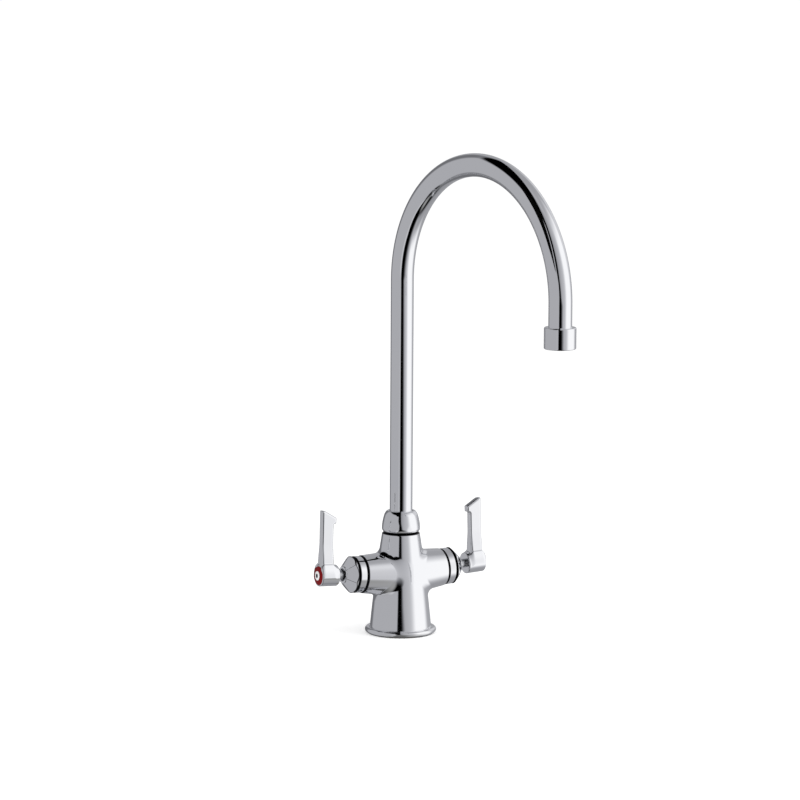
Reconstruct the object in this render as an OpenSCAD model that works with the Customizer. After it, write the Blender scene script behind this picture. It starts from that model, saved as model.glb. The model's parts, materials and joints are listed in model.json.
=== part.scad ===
// Deck-mount kitchen faucet: a tapered column with two side arms, a swinging
// gooseneck spout and two quarter-turn lever handles on ceramic-disc valves.
// The deck is the plane z = 0, +X points to the cold handle and -Y to the user.

/* [Foot and column] */
// Diameter of the round foot that stands on the deck
foot_d = 58.9; // [54:0.2:70]
// Height of the foot's rounded bead
foot_h = 4.8; // [3:0.2:8]
// Thickness of the rubber gasket under the foot
gasket_t = 0.6; // [0.5:0.1:2]
// Distance of the gasket's edge from the foot's edge
gasket_inset = 2.5; // [0.5:0.1:4]
// Width of the gap between the gasket and the shank
gasket_bore_gap = 2; // [0.5:0.1:4]
// Depth of the groove between the foot's bead and the column
foot_groove = 0.8; // [0.2:0.1:1.5]
// Diameter of the column where it leaves the foot
column_d = 50.8; // [48:0.2:53]
// Swell of the column's side beyond a straight taper
column_belly = 0.7; // [0.1:0.1:1.5]
// Diameter of the neck at the top of the column
neck_d = 31.4; // [30.4:0.2:38]
// Height of the neck's shoulder above the deck
neck_z = 84.1; // [80:0.1:110]
// Rounding of the neck's shoulder
neck_round = 1.2; // [0.4:0.1:2]
// Height of the threaded spigot above the neck's shoulder
spigot_h = 9.7; // [8:0.1:14]
// Diameter of the threaded spigot that carries the spout nut
spigot_d = 25.4; // [25:0.1:26]

/* [Side arms] */
// Height above the deck at which the two handle axes meet in the column
axis_z = 49.8; // [49:0.1:52]
// Angle by which each arm rises from the level
arm_rise = 3; // [0:0.5:4]
// Diameter of each side arm at its end
arm_d = 31; // [29.6:0.2:36]
// Angle by which an arm's side opens towards the column
arm_taper = 6; // [0:0.5:8]
// Distance from the column's middle to the end of an arm
arm_reach = 38.1; // [36:0.1:50]
// Rounding of the arm's end
arm_round = 1; // [0.4:0.1:2]

/* [Waterways] */
// Height of the roof of the hollow in the column's underside
hollow_z = 30; // [24:0.5:32]
// Diameter of each threaded supply port in that roof
port_d = 10; // [8:0.5:11]
// Depth of the thread in each supply port
port_depth = 10; // [6:0.5:10]
// Distance of each supply port from the middle
port_x = 7.5; // [6.5:0.1:8]
// Diameter of the drilled ways from the ports up to the valves
feed_d = 7.2; // [4:0.2:8]
// Diameter of the way from a feed into its valve's end
seat_d = 8.8; // [5:0.2:9.4]
// Half width of the wall between the hot and the cold water
divider = 3.8; // [2.5:0.1:4]
// Diameter of the cross way that takes mixed water to the spout
mix_d = 6.4; // [5:0.2:7]
// Height of the cross way above the handle axis
mix_up = 9.2; // [8.8:0.1:9.8]
// Length of the cross way beyond the valve chamber's inner end
mix_reach = 4; // [2:0.5:6]
// Diameter of the riser under the spout socket
riser_d = 14; // [10:0.5:16]

/* [Valves] */
// Distance from the middle to the valve chamber's inner end
seat_x = 16.5; // [15:0.1:18]
// Diameter of the valve chamber
chamber_d = 19.6; // [19:0.2:21]
// Distance from the middle to the shoulder that the valve shell sits on
shoulder_x = 28; // [27.5:0.1:30]
// Diameter of the arm's threaded mouth
mouth_d = 24.5; // [24:0.1:26]
// Outside diameter of the shell's inner part
shell_in_d = 17.8; // [17:0.2:18.4]
// Outside diameter of the shell's outer barrel
shell_out_d = 18; // [15:0.2:19]
// Thickness of the shell's flange
shell_flange_t = 2.5; // [1.5:0.1:3.5]
// Length of the shell inside the bonnet nut's head
shell_reach = 2.7; // [1:0.1:3.1]
// Diameter of the ceramic discs
disc_d = 13; // [11:0.2:13.4]
// Thickness of each ceramic disc
disc_t = 3; // [2:0.1:3.2]
// Thickness of the rubber seat seal behind the discs
seal_t = 2; // [1:0.1:2.4]
// Diameter of each water hole in the discs
disc_hole_d = 3.6; // [2:0.2:4]
// Distance of the water holes from the disc's middle
disc_hole_at = 3.6; // [3:0.1:4]
// Width of the drive slot in the moving disc
tang_w = 3; // [2:0.1:3.4]
// Depth of the drive slot in the moving disc
tang_h = 1.4; // [0.8:0.1:1.8]
// Distance of the drive tang's ends from the disc's edge
tang_short = 1.5; // [0.5:0.1:3]
// Width of the water windows in the shell
window_w = 4.4; // [3:0.2:5]
// Angle that the handle turns between its stops
handle_turn = 90; // [80:5:100]
// Width of the stop lug on the stem, as an angle
stop_lug_angle = 24; // [14:2:40]
// Height of the stop lug above the stem's collar
stop_lug_h = 1.2; // [0.6:0.1:1.3]
// Play left at each end of the handle's turn, as an angle
stop_play = 2; // [1:0.5:4]
// Thickness of the seal rings on the stem
stem_seal_t = 1.2; // [0.8:0.1:1.6]
// Distance of the first stem seal from the shell's flange
stem_seal_at = 4; // [2:0.1:6]
// Distance between the stem seals
stem_seal_pitch = 5; // [3:0.1:6]
// Thickness of the clip that keeps the stem in the shell
clip_t = 0.8; // [0.5:0.1:1.2]
// Depth of the clip's groove in the stem
clip_groove = 1; // [0.5:0.1:1.3]
// Height by which the clip stands out of the stem
clip_w = 1.6; // [0.8:0.1:2]

/* [Bonnet nuts] */
// Diameter of the plain ring between arm and nut
ring_d = 30.2; // [28:0.2:32]
// Length of the plain ring
ring_w = 7.2; // [5:0.1:9]
// Width of the groove between ring and nut
groove_w = 1; // [0.6:0.1:2]
// Diameter at the bottom of that groove
groove_d = 26.8; // [26:0.2:28]
// Size across the flats of the bonnet nut
nut_flats = 26.6; // [25.4:0.2:30]
// Largest diameter of the bonnet nut, over its rounded corners
nut_corner_d = 30.4; // [29.6:0.2:34]
// Length of the bonnet nut's straight hexagon
nut_straight = 2; // [1:0.1:4]
// Length of the bonnet nut's tapered hexagon
nut_taper = 5.6; // [5:0.1:10]
// Size across the flats at the small end of the taper
nut_tip_flats = 14; // [13.8:0.2:18]
// Length of the round nose beyond the taper
nut_nose = 0.7; // [0.5:0.1:3]
// Rounding of the bonnet nut's corners
nut_round = 0.6; // [0.2:0.1:0.9]
// Turn of the bonnet nut's corners about its axis
nut_clock = 48; // [0:1:60]

/* [Handles] */
// Diameter of the valve stem inside the bonnet nut
stem_d = 10.3; // [9:0.1:11]
// Length of the stem at that diameter that runs in the nut's opening
stem_guide = 1; // [0.5:0.1:1.5]
// Diameter of the stem's neck, which shows between the nut and the hub
stem_neck_d = 7.4; // [6.8:0.1:8.6]
// Diameter of the stem's driving end inside the hub
spline_d = 6.4; // [5.6:0.1:6.6]
// Length of stem that shows between the bonnet nut and the hub
stem_show = 6; // [3:0.1:12]
// Length of a hub along the handle axis
hub_w = 16; // [13:0.1:18]
// Diameter of a hub
hub_d = 17.6; // [16.4:0.1:22]
// Rounding of the hub's edges
hub_round = 0.8; // [0.3:0.1:1]
// Height of the lever's outer corner above the handle axis
lever_h = 53.9; // [40:0.1:80]
// Lean of the lever's outer corner away from the column
lever_lean = 1.3; // [-2:0.1:3]
// Drop of the lever's end face from its outer to its inner corner
lever_slant = 6; // [0:0.1:8]
// Width of the lever beside the hub
lever_root_w = 10.7; // [8:0.1:12]
// Width of the lever just below its end
lever_tip_w = 11.2; // [8:0.1:12]
// Thickness of the lever beside the hub
lever_root_t = 9.8; // [6:0.1:12]
// Thickness of the lever at its end
lever_tip_t = 6.2; // [4:0.1:10]
// Length of the thumb lip at the lever's inner corner
lip_w = 2.4; // [0.5:0.1:4]
// Height of the thumb lip
lip_h = 5.3; // [2:0.1:8]
// Rise of the lip's underside towards its edge
lip_rise = 0.8; // [0:0.1:2]
// Distance of the lever's outer face from the hub's outer face
lever_inset = 0.7; // [0.3:0.1:2]
// Radius of the blend from lever to hub
root_blend = 6; // [3:0.5:8]
// Width of the ledge that the index button sits on
index_ledge = 1.3; // [0.8:0.1:2]
// Width of the coloured ring round the index button
index_band = 2.7; // [1.5:0.1:3]
// Height by which the button's middle stands out of the hub
index_crown = 1.3; // [0.3:0.1:2]
// Depth of the recess that holds the index button
index_seat = 0.8; // [0.5:0.1:1.2]
// Height of the bevel round the button's face
button_bevel = 0.3; // [0.2:0.1:0.6]
// Diameter of the dimple in the button's face
dimple_d = 3; // [1:0.1:5]
// Diameter of the handle screw
screw_d = 3.3; // [2.5:0.1:4]
// Length of the handle screw inside the stem
screw_in = 11; // [5:0.5:14]
// Diameter of the handle screw's head
screw_head_d = 6.8; // [5.5:0.1:8]
// Height of the handle screw's head
screw_head_h = 2.3; // [1.5:0.1:3]
// Thickness of the hub's web under the screw's head
web_t = 1.9; // [1:0.1:3]

/* [Spout] */
// Outside diameter of the spout tube
tube_d = 18.8; // [15:0.1:19.4]
// Wall of the spout tube
tube_wall = 1.2; // [0.8:0.1:2]
// Radius of the gooseneck's bend at the tube's centre line
bend_r = 101.6; // [60:0.1:140]
// Height of the bend's centre above the deck
bend_z = 294; // [200:1:400]
// Straight tube between the bend and the outlet ring
outlet_drop = 17.6; // [5:0.1:60]
// Angle of the spout from straight ahead towards the cold handle
spout_turn = 9; // [0:0.1:40]
// Diameter of the socket that the spout's foot turns in
socket_d = 22; // [21.5:0.1:22.4]
// Height of the socket's floor above the deck
socket_z = 70; // [68:0.1:72]
// Length of tube held inside the spout's foot
tube_in = 7.8; // [5:0.1:9]
// Bore of the spout's foot below the tube
foot_bore_d = 14; // [10:0.2:15]
// Thickness of the flange that holds the spout down
flange_t = 2; // [1.5:0.1:2.4]
// Thickness of each seal ring on the spout's foot
seal_ring_t = 1.6; // [1:0.1:1.9]
// Height of the first seal ring above the foot's lower end
seal_ring_at = 3; // [2:0.1:4]
// Distance between the spout's seal rings
seal_ring_pitch = 6; // [4:0.1:7]

/* [Spout nut] */
// Diameter of the spout nut at its widest
collar_d = 32; // [31:0.1:40]
// Diameter of the spout nut's bottom edge
collar_foot_d = 28.4; // [28:0.1:30]
// Height of the widest place above the bottom edge
collar_wide_h = 2.6; // [1:0.1:5]
// Diameter of the spout nut at its top bevel
collar_top_d = 26.6; // [26:0.1:32]
// Height of the spout nut
collar_h = 18; // [17.2:0.1:24]
// Width of the bevel round its top
collar_bevel = 1.8; // [0.4:0.1:2.4]
// Radius of the spout nut's domed side
collar_dome = 50; // [30:1:120]
// Size across the low spanner flats of the spout nut
collar_flats = 30.6; // [30:0.1:34]
// Thickness of the bearing bush under the nut's top
bush_t = 1.6; // [1:0.1:2]

/* [Outlet] */
// Diameter of the outlet ring
outlet_d = 25.6; // [25:0.1:32]
// Height of the outlet ring
outlet_h = 17.2; // [15:0.1:26]
// Rounding of the outlet ring's edges
outlet_round = 0.9; // [0.3:0.1:1.2]
// Depth of tube held in the outlet ring
outlet_socket = 6; // [4:0.1:7]
// Thickness of the land between tube and water insert
outlet_land = 1.5; // [1:0.1:2.5]
// Diameter of the threaded bore for the water insert
insert_d = 22.4; // [21:0.1:23]
// Thickness of the insert's rubber washer
washer_t = 1.5; // [1:0.1:2]
// Wall of the insert's housing
insert_wall = 1.5; // [1:0.1:2]
// Height by which the insert stays inside the ring
insert_recess = 0.5; // [0:0.1:1]
// Width of the lip that carries the screen
insert_lip = 1; // [0.5:0.1:2]
// Thickness of that lip
insert_lip_h = 1.2; // [0.6:0.1:1.6]
// Thickness of the screen over the outlet
screen_t = 1; // [0.6:0.1:1.4]
// Distance between the screen's holes
screen_pitch = 3; // [2.6:0.1:4]
// Diameter of the screen's holes
screen_hole_d = 2; // [1:0.1:2.2]
// Distance between the flow straightener's holes
straightener_pitch = 3.4; // [3.2:0.1:4.4]
// Diameter of the flow straightener's holes
straightener_hole_d = 2.6; // [1.4:0.1:2.8]

/* [Under the deck] */
// Outside diameter of the threaded mounting shank
shank_d = 32.8; // [31:0.1:34]
// Bore of the shank that the supply hoses pass through
shank_bore = 26; // [22:0.2:27]
// Length of the shank below the deck's top
shank_drop = 55; // [45:1:80]
// Length of the shank screwed into the column
shank_in = 15; // [8:0.5:20]
// Thickness of the deck that is clamped
deck_t = 20; // [3:1:30]
// Thickness of the rubber washer under the deck
rubber_t = 3; // [2:0.5:5]
// Diameter of the steel washer under the deck
under_washer_d = 54; // [46:1:64]
// Distance of the rubber washer's edge from the steel washer's edge
rubber_inset = 1; // [0:0.1:3]
// Thickness of the steel washer
steel_t = 2; // [1:0.5:3]
// Size across the flats of the locknut
locknut_flats = 46; // [42:1:52]
// Height of the locknut
locknut_h = 9; // [6:0.5:12]
// Bevel of the locknut's corners
locknut_bevel = 1; // [0.5:0.1:2]

/* [Clearances] */
// Radial clearance of a shaft that turns in its bore
slip = 0.05; // [0.02:0.01:0.1]
// Radial clearance of a screwed joint
thread_gap = 0.1; // [0.05:0.01:0.2]
// Clearance between the faces of parts that move past each other
face_gap = 0.3; // [0.2:0.05:0.4]
// Clearance between the lapped faces of the ceramic discs
disc_gap = 0.1; // [0.05:0.01:0.2]
// Radial clearance of the washers round the shank
washer_gap = 0.4; // [0.2:0.1:1]
// Clearance on each side of a seal ring in its groove
seal_side_gap = 0.3; // [0.1:0.05:0.4]
// Clearance between the stop lug and the wall of its slot
lug_gap = 0.2; // [0.1:0.05:0.3]
// Clearance between the stem's clip and the parts beside it
clip_gap = 0.2; // [0.1:0.05:0.3]

/* [Hidden] */
$fn = 96;
cut = 1;
sink = 0.5;

foot_z = gasket_t + foot_h;
column_z = foot_z - foot_groove;
spigot_z = neck_z + spigot_h;
shank_socket_d = shank_d + 2*thread_gap;
washer_bore_d = shank_d + 2*washer_gap;

seal_x = seat_x + seal_t;
fixed_x = seal_x + disc_t;
moving_x = fixed_x + disc_gap;
collar_x = moving_x + disc_t;
shell_face_x = shoulder_x + shell_flange_t;
shell_flange_d = mouth_d - 2*face_gap;
room_x = shoulder_x + face_gap;
room_d = disc_d + 2*face_gap;
stem_bore_d = stem_d + 2*slip;
lug_r = disc_d/2 + stop_lug_h;
lug_angle = 90 - handle_turn/2;

ring_end_x = arm_reach + ring_w;
nut_x = ring_end_x + groove_w;
nut_end_x = nut_x + nut_straight + nut_taper + nut_nose;
nut_barrel_d = mouth_d - 2*thread_gap;
nut_room_d = shell_out_d + 2*thread_gap;
shell_end_x = nut_x + shell_reach;
clip_x = shell_end_x + clip_gap;
nut_room_x = clip_x + clip_t + 2*clip_gap;
stem_neck_x = nut_room_x + stem_guide;
clip_floor_d = stem_d - 2*clip_groove;

hub_x = nut_end_x + stem_show;
hub_end_x = hub_x + hub_w;
index_x = hub_end_x - index_seat;
head_x = index_x - face_gap - screw_head_h;
web_x = head_x - web_t;
spline_end_x = web_x - slip;
head_room_d = screw_head_d + 2*face_gap;
index_mid_d = head_room_d + 2*index_ledge;
index_d = index_mid_d + 2*index_band;

tube_in_d = tube_d - 2*tube_wall;
foot_piece_z = socket_z + 2*face_gap;
foot_piece_d = socket_d - 2*slip;
flange_d = spigot_d - 2*face_gap;
hold_z = spigot_z + face_gap;
hold_top = hold_z + flange_t;
tube_z = hold_top - tube_in;
bush_z = hold_top + face_gap;
collar_z = neck_z + face_gap;
shelf_z = bush_z + bush_t;
collar_room_d = spigot_d + 2*thread_gap;

outlet_top = bend_z - outlet_drop;
outlet_z = outlet_top - outlet_h;
land_z = outlet_top - outlet_socket - outlet_land;
insert_top = land_z - washer_t;
insert_z = outlet_z + insert_recess;
insert_out_d = insert_d - 2*thread_gap;
insert_in_d = insert_out_d - 2*insert_wall;
screen_z = insert_z + insert_lip_h;

rubber_z = -deck_t - rubber_t;
steel_z = rubber_z - steel_t;
locknut_z = steel_z - locknut_h;

chrome = [0.82, 0.83, 0.85];
brass = [0.80, 0.66, 0.36];
rubber = [0.10, 0.10, 0.11];
ceramic = [0.93, 0.92, 0.88];
steel = [0.62, 0.63, 0.65];
nylon = [0.90, 0.90, 0.86];
hot_red = [0.55, 0.05, 0.07];
cold_blue = [0.08, 0.20, 0.55];

// A turned disc whose upper and lower outer edges are rounded by e.
module round_disc(d, h, e) {
    rotate_extrude() {
        square([d/2 - e, h]);
        translate([0, e]) square([d/2, h - 2*e]);
        translate([d/2 - e, e]) circle(e);
        translate([d/2 - e, h - e]) circle(e);
    }
}

// A plain ring from height z0 to z1.
module ring(d_out, d_in, z0, z1) {
    difference() {
        translate([0, 0, z0]) cylinder(d = d_out, h = z1 - z0);
        translate([0, 0, z0 - cut]) cylinder(d = d_in, h = z1 - z0 + 2*cut);
    }
}

// A rubber ring of round section lying at height z.
module seal_ring(middle_r, t, z) {
    translate([0, 0, z]) rotate_extrude() translate([middle_r, 0]) circle(d = t, $fn = 24);
}

// Turns a piece drawn along +Z so that it lies along a handle's axis:
// hand = 1 puts it on the cold side and hand = -1 on the hot side.
module on_arm(hand) {
    mirror([hand < 0 ? 1 : 0, 0, 0])
        translate([0, 0, axis_z]) rotate([0, 90 - arm_rise, 0]) children();
}

// Draws a piece in the spout's own plane, turned to where it stands.
module on_spout() {
    rotate([0, 0, spout_turn]) children();
}

// Moves a piece of the spout from its foot to its outlet.
module at_outlet() {
    on_spout() translate([0, -2*bend_r, 0]) children();
}

// Half section of the column's side, which swells a little between foot and neck.
module column_section() {
    low = [column_d/2, column_z];
    high = [neck_d/2, neck_z - neck_round];
    half_side = norm(high - low)/2;
    side_r = (pow(half_side, 2) + pow(column_belly, 2))/(2*column_belly);
    lean = atan((low[0] - high[0])/(high[1] - low[1]));
    intersection() {
        translate([0, column_z - sink]) square([column_d, neck_z - neck_round - column_z + sink]);
        translate((low + high)/2 - (side_r - column_belly)*[cos(lean), sin(lean)])
            circle(side_r, $fn = 2000);
    }
}

// Column, foot and arms before anything is bored out of them.
module body_outside() {
    translate([0, 0, gasket_t]) rotate_extrude() {
        square([(foot_d - foot_h)/2, foot_h - foot_groove]);
        translate([(foot_d - foot_h)/2, foot_h/2]) circle(d = foot_h);
    }
    rotate_extrude() column_section();
    rotate_extrude() {
        translate([0, neck_z - 2*neck_round]) square([neck_d/2 - neck_round, 2*neck_round]);
        translate([neck_d/2 - neck_round, neck_z - neck_round]) circle(neck_round);
    }
    translate([0, 0, neck_z - cut]) cylinder(d = spigot_d, h = spigot_h + cut);
    for (hand = [-1, 1]) on_arm(hand) rotate_extrude() {
        polygon([[0, 0], [arm_d/2 + arm_reach*tan(arm_taper), 0],
                 [arm_d/2 + arm_round*tan(arm_taper), arm_reach - arm_round],
                 [arm_d/2 - arm_round, arm_reach], [0, arm_reach]]);
        translate([arm_d/2 - arm_round, arm_reach - arm_round]) circle(arm_round);
    }
}

// Everything that is bored or tapped into one side of the column.
module valve_waterways(hand) {
    on_arm(hand) {
        translate([0, 0, shoulder_x]) cylinder(d = mouth_d, h = arm_reach - shoulder_x + cut);
        translate([0, 0, seat_x]) cylinder(d = chamber_d, h = shoulder_x - seat_x + cut);
        translate([0, 0, divider]) cylinder(d = seat_d, h = seat_x - divider + cut);
        translate([-mix_up, 0, 0]) cylinder(d = mix_d, h = seat_x + mix_reach);
    }
    translate([hand*port_x, 0, hollow_z - cut]) cylinder(d = port_d, h = port_depth + cut);
    translate([hand*port_x, 0, hollow_z]) cylinder(d = feed_d, h = axis_z - hollow_z);
}

module faucet_body() {
    color(chrome) difference() {
        body_outside();
        translate([0, 0, gasket_t - cut]) cylinder(d = shank_socket_d, h = hollow_z - gasket_t + cut);
        translate([0, 0, socket_z]) cylinder(d = socket_d, h = spigot_z - socket_z + cut);
        translate([0, 0, axis_z + mix_up]) cylinder(d = riser_d, h = socket_z - axis_z - mix_up + cut);
        translate([0, 0, axis_z + mix_up]) sphere(d = mix_d + 2);
        valve_waterways(-1);
        valve_waterways(1);
    }
}

module base_gasket() {
    color(rubber) ring(foot_d - 2*gasket_inset, shank_d + 2*gasket_bore_gap, 0, gasket_t);
}

module mounting_shank() {
    color(brass) difference() {
        translate([0, 0, -shank_drop]) cylinder(d = shank_d, h = shank_drop + shank_in);
        translate([0, 0, -shank_drop - cut]) cylinder(d = shank_bore, h = shank_drop + shank_in + 2*cut);
    }
}

module deck_rubber_washer() {
    color(rubber) ring(under_washer_d - 2*rubber_inset, washer_bore_d, rubber_z, -deck_t);
}

module deck_steel_washer() {
    color(steel) ring(under_washer_d, washer_bore_d, steel_z, rubber_z);
}

module deck_locknut() {
    color(brass) difference() {
        intersection() {
            translate([0, 0, locknut_z])
                cylinder(d = locknut_flats/cos(30), h = locknut_h, $fn = 6);
            translate([0, 0, locknut_z])
                round_disc(locknut_flats/cos(30) - locknut_bevel, locknut_h, locknut_bevel);
        }
        translate([0, 0, locknut_z - cut]) cylinder(d = shank_socket_d, h = locknut_h + 2*cut);
    }
}

// Half section of the spout nut's outside, from its bottom at height 0.
module collar_section() {
    low = [collar_d/2, collar_wide_h];
    high = [collar_top_d/2, collar_h - collar_bevel];
    lean = atan((low[0] - high[0])/(high[1] - low[1]));
    back = sqrt(pow(collar_dome, 2) - pow(norm(high - low)/2, 2));
    intersection() {
        polygon([[0, 0], [collar_foot_d/2, 0], low, low + [1, 0], [low[0] + 1, high[1]], high,
                 [high[0] - collar_bevel, collar_h], [0, collar_h]]);
        translate((low + high)/2 - back*[cos(lean), sin(lean)]) circle(collar_dome, $fn = 720);
    }
}

module spout_nut() {
    color(chrome) translate([0, 0, collar_z]) difference() {
        intersection() {
            rotate_extrude() collar_section();
            rotate([0, 0, 30]) translate([0, 0, -cut])
                cylinder(d = collar_flats/cos(30), h = collar_h + 2*cut, $fn = 6);
        }
        translate([0, 0, -cut]) cylinder(d = collar_room_d, h = shelf_z - collar_z + cut);
        translate([0, 0, -cut]) cylinder(d = tube_d + 2*face_gap, h = collar_h + 2*cut);
    }
}

module spout_bush() {
    color(nylon) ring(collar_room_d - 2*thread_gap, tube_d + 2*slip, bush_z, shelf_z);
}

module tube_path(d) {
    translate([0, 0, tube_z]) cylinder(d = d, h = bend_z - tube_z);
    translate([0, -bend_r, bend_z]) rotate([90, 0, 90])
        rotate_extrude(angle = 180) translate([bend_r, 0]) circle(d = d);
    translate([0, -2*bend_r, outlet_top - outlet_socket])
        cylinder(d = d, h = bend_z - outlet_top + outlet_socket);
}

module spout_tube() {
    color(chrome) on_spout() difference() {
        tube_path(tube_d);
        tube_path(tube_in_d);
        translate([0, 0, tube_z - cut]) cylinder(d = tube_in_d, h = 2*cut);
        translate([0, -2*bend_r, outlet_top - outlet_socket - cut])
            cylinder(d = tube_in_d, h = 2*cut);
    }
}

// Heights of the two seal grooves in the spout's foot.
function foot_groove_z(i) = foot_piece_z + seal_ring_at + seal_ring_pitch*i;

module spout_foot() {
    groove_h = seal_ring_t + 2*seal_side_gap;
    color(brass) difference() {
        union() {
            translate([0, 0, foot_piece_z]) cylinder(d = foot_piece_d, h = hold_z - foot_piece_z + cut);
            translate([0, 0, hold_z]) cylinder(d = flange_d, h = flange_t);
        }
        translate([0, 0, foot_piece_z - cut])
            cylinder(d = foot_bore_d, h = hold_top - foot_piece_z + 2*cut);
        translate([0, 0, tube_z]) cylinder(d = tube_d, h = tube_in + cut);
        for (i = [0, 1])
            ring(foot_piece_d + 2*cut, foot_piece_d - 2*seal_ring_t - 2*slip,
                 foot_groove_z(i) - groove_h/2, foot_groove_z(i) + groove_h/2);
    }
}

module spout_seal_rings() {
    color(rubber) for (i = [0, 1])
        seal_ring(foot_piece_d/2 - seal_ring_t/2 - slip, seal_ring_t, foot_groove_z(i));
}

module outlet_ring() {
    color(chrome) at_outlet() difference() {
        translate([0, 0, outlet_z]) round_disc(outlet_d, outlet_h, outlet_round);
        translate([0, 0, outlet_top - outlet_socket]) cylinder(d = tube_d, h = outlet_socket + cut);
        translate([0, 0, land_z - cut]) cylinder(d = tube_in_d, h = outlet_land + 2*cut);
        translate([0, 0, outlet_z - cut]) cylinder(d = insert_d, h = land_z - outlet_z + cut);
    }
}

module insert_washer() {
    color(rubber) at_outlet() ring(insert_out_d, tube_in_d, insert_top, land_z);
}

module insert_housing() {
    color(chrome) at_outlet() difference() {
        translate([0, 0, insert_z]) cylinder(d = insert_out_d, h = insert_top - insert_z);
        translate([0, 0, screen_z]) cylinder(d = insert_in_d, h = insert_top - screen_z + cut);
        translate([0, 0, insert_z - cut])
            cylinder(d = insert_in_d - 2*insert_lip, h = screen_z - insert_z + 2*cut);
    }
}

// Places of a triangular field of holes that stay inside diameter d.
function hole_field(d, pitch, hole) = [
    for (i = [-8:8], j = [-8:8])
        let (p = [pitch*(i + (j % 2 == 0 ? 0 : 0.5)), pitch*j*sin(60)])
        if (norm(p) + hole/2 < d/2 - sink) p
];

module drilled_disc(d, z0, z1, pitch, hole) {
    difference() {
        translate([0, 0, z0]) cylinder(d = d, h = z1 - z0);
        for (p = hole_field(d, pitch, hole))
            translate([p[0], p[1], z0 - cut]) cylinder(d = hole, h = z1 - z0 + 2*cut, $fn = 24);
    }
}

module outlet_screen() {
    color(steel) at_outlet()
        drilled_disc(insert_in_d - 2*thread_gap, screen_z, screen_z + screen_t,
                     screen_pitch, screen_hole_d);
}

module flow_straightener() {
    color(nylon) at_outlet()
        drilled_disc(insert_in_d - 2*thread_gap, screen_z + screen_t, insert_top,
                     straightener_pitch, straightener_hole_d);
}

module bonnet_ring(hand) {
    color(chrome) on_arm(hand) translate([0, 0, arm_reach]) difference() {
        round_disc(ring_d, ring_w, arm_round);
        translate([0, 0, -cut]) cylinder(d = mouth_d, h = ring_w + 2*cut);
    }
}

// A hexagon that keeps its size for nut_straight and then tapers for nut_taper.
module tapered_hexagon() {
    wide = nut_flats/2;
    narrow = nut_tip_flats/2;
    end = nut_straight + nut_taper;
    intersection_for (turn = [30, 90, 150])
        rotate([0, 0, nut_clock + turn]) rotate([90, 0, 0])
            linear_extrude(2*nut_corner_d, center = true)
                polygon([[-wide, 0], [wide, 0], [wide, nut_straight], [narrow, end],
                         [-narrow, end], [-wide, nut_straight]]);
}

module bonnet_nut(hand) {
    color(chrome) on_arm(hand) difference() {
        union() {
            translate([0, 0, shell_face_x]) cylinder(d = nut_barrel_d, h = ring_end_x - shell_face_x);
            translate([0, 0, ring_end_x]) cylinder(d = groove_d, h = groove_w);
            translate([0, 0, nut_x]) intersection() {
                tapered_hexagon();
                round_disc(nut_corner_d, nut_straight + nut_taper, nut_round);
            }
            translate([0, 0, nut_x]) cylinder(d = nut_tip_flats, h = nut_end_x - nut_x);
        }
        translate([0, 0, shell_face_x - cut]) cylinder(d = nut_room_d, h = nut_room_x - shell_face_x + cut);
        translate([0, 0, nut_room_x - cut]) cylinder(d = stem_bore_d, h = nut_end_x - nut_room_x + 2*cut);
    }
}

module valve_shell(hand) {
    slot_from = lug_angle - stop_lug_angle/2 - stop_play;
    slot_x = collar_x - face_gap;
    color(brass) on_arm(hand) difference() {
        union() {
            translate([0, 0, seat_x + face_gap])
                cylinder(d = shell_in_d, h = shoulder_x - seat_x - face_gap);
            translate([0, 0, shoulder_x]) cylinder(d = shell_flange_d, h = shell_flange_t);
            translate([0, 0, shell_face_x]) cylinder(d = shell_out_d, h = shell_end_x - shell_face_x);
        }
        translate([0, 0, seat_x]) cylinder(d = room_d, h = room_x - seat_x);
        translate([0, 0, seat_x]) cylinder(d = stem_bore_d, h = shell_end_x - seat_x + cut);
        translate([0, 0, slot_x]) rotate([0, 0, slot_from])
            rotate_extrude(angle = handle_turn + stop_lug_angle + 2*stop_play)
                square([lug_r + lug_gap, room_x - slot_x]);
        translate([-shell_in_d, -window_w/2, moving_x]) cube([2*shell_in_d, window_w, disc_t - 2*face_gap]);
    }
}

module seat_seal(hand) {
    color(rubber) on_arm(hand) ring(disc_d - 2*slip, seat_d, seat_x, seal_x);
}

// The two round water holes of the fixed disc.
module water_holes(z) {
    for (side = [-1, 1])
        translate([side*disc_hole_at, 0, z - cut]) cylinder(d = disc_hole_d, h = disc_t + 2*cut);
}

module fixed_disc(hand) {
    color(ceramic) on_arm(hand) difference() {
        translate([0, 0, seal_x]) cylinder(d = disc_d, h = disc_t);
        water_holes(seal_x);
    }
}

module drive_bar(w, l, z0, z1) {
    translate([-w/2, -l/2, z0]) cube([w, l, z1 - z0]);
}

// The moving disc's water ways are open at its edge, so that the water leaves
// through the windows of the shell. It stands shut, a quarter turn from the holes.
module moving_disc(hand) {
    color(ceramic) on_arm(hand) difference() {
        translate([0, 0, moving_x]) cylinder(d = disc_d, h = disc_t);
        rotate([0, 0, 90]) {
            water_holes(moving_x);
            for (turn = [0, 180])
                rotate([0, 0, turn]) translate([disc_hole_at, -disc_hole_d/2, moving_x - cut])
                    cube([disc_d, disc_hole_d, disc_t + 2*cut]);
        }
        drive_bar(disc_d + 2*cut, tang_w + 2*slip, collar_x - tang_h, collar_x + cut);
    }
}

// Places of the two seal grooves along the stem.
function stem_groove_x(i) = shell_face_x + stem_seal_at + stem_seal_pitch*i;

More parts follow.
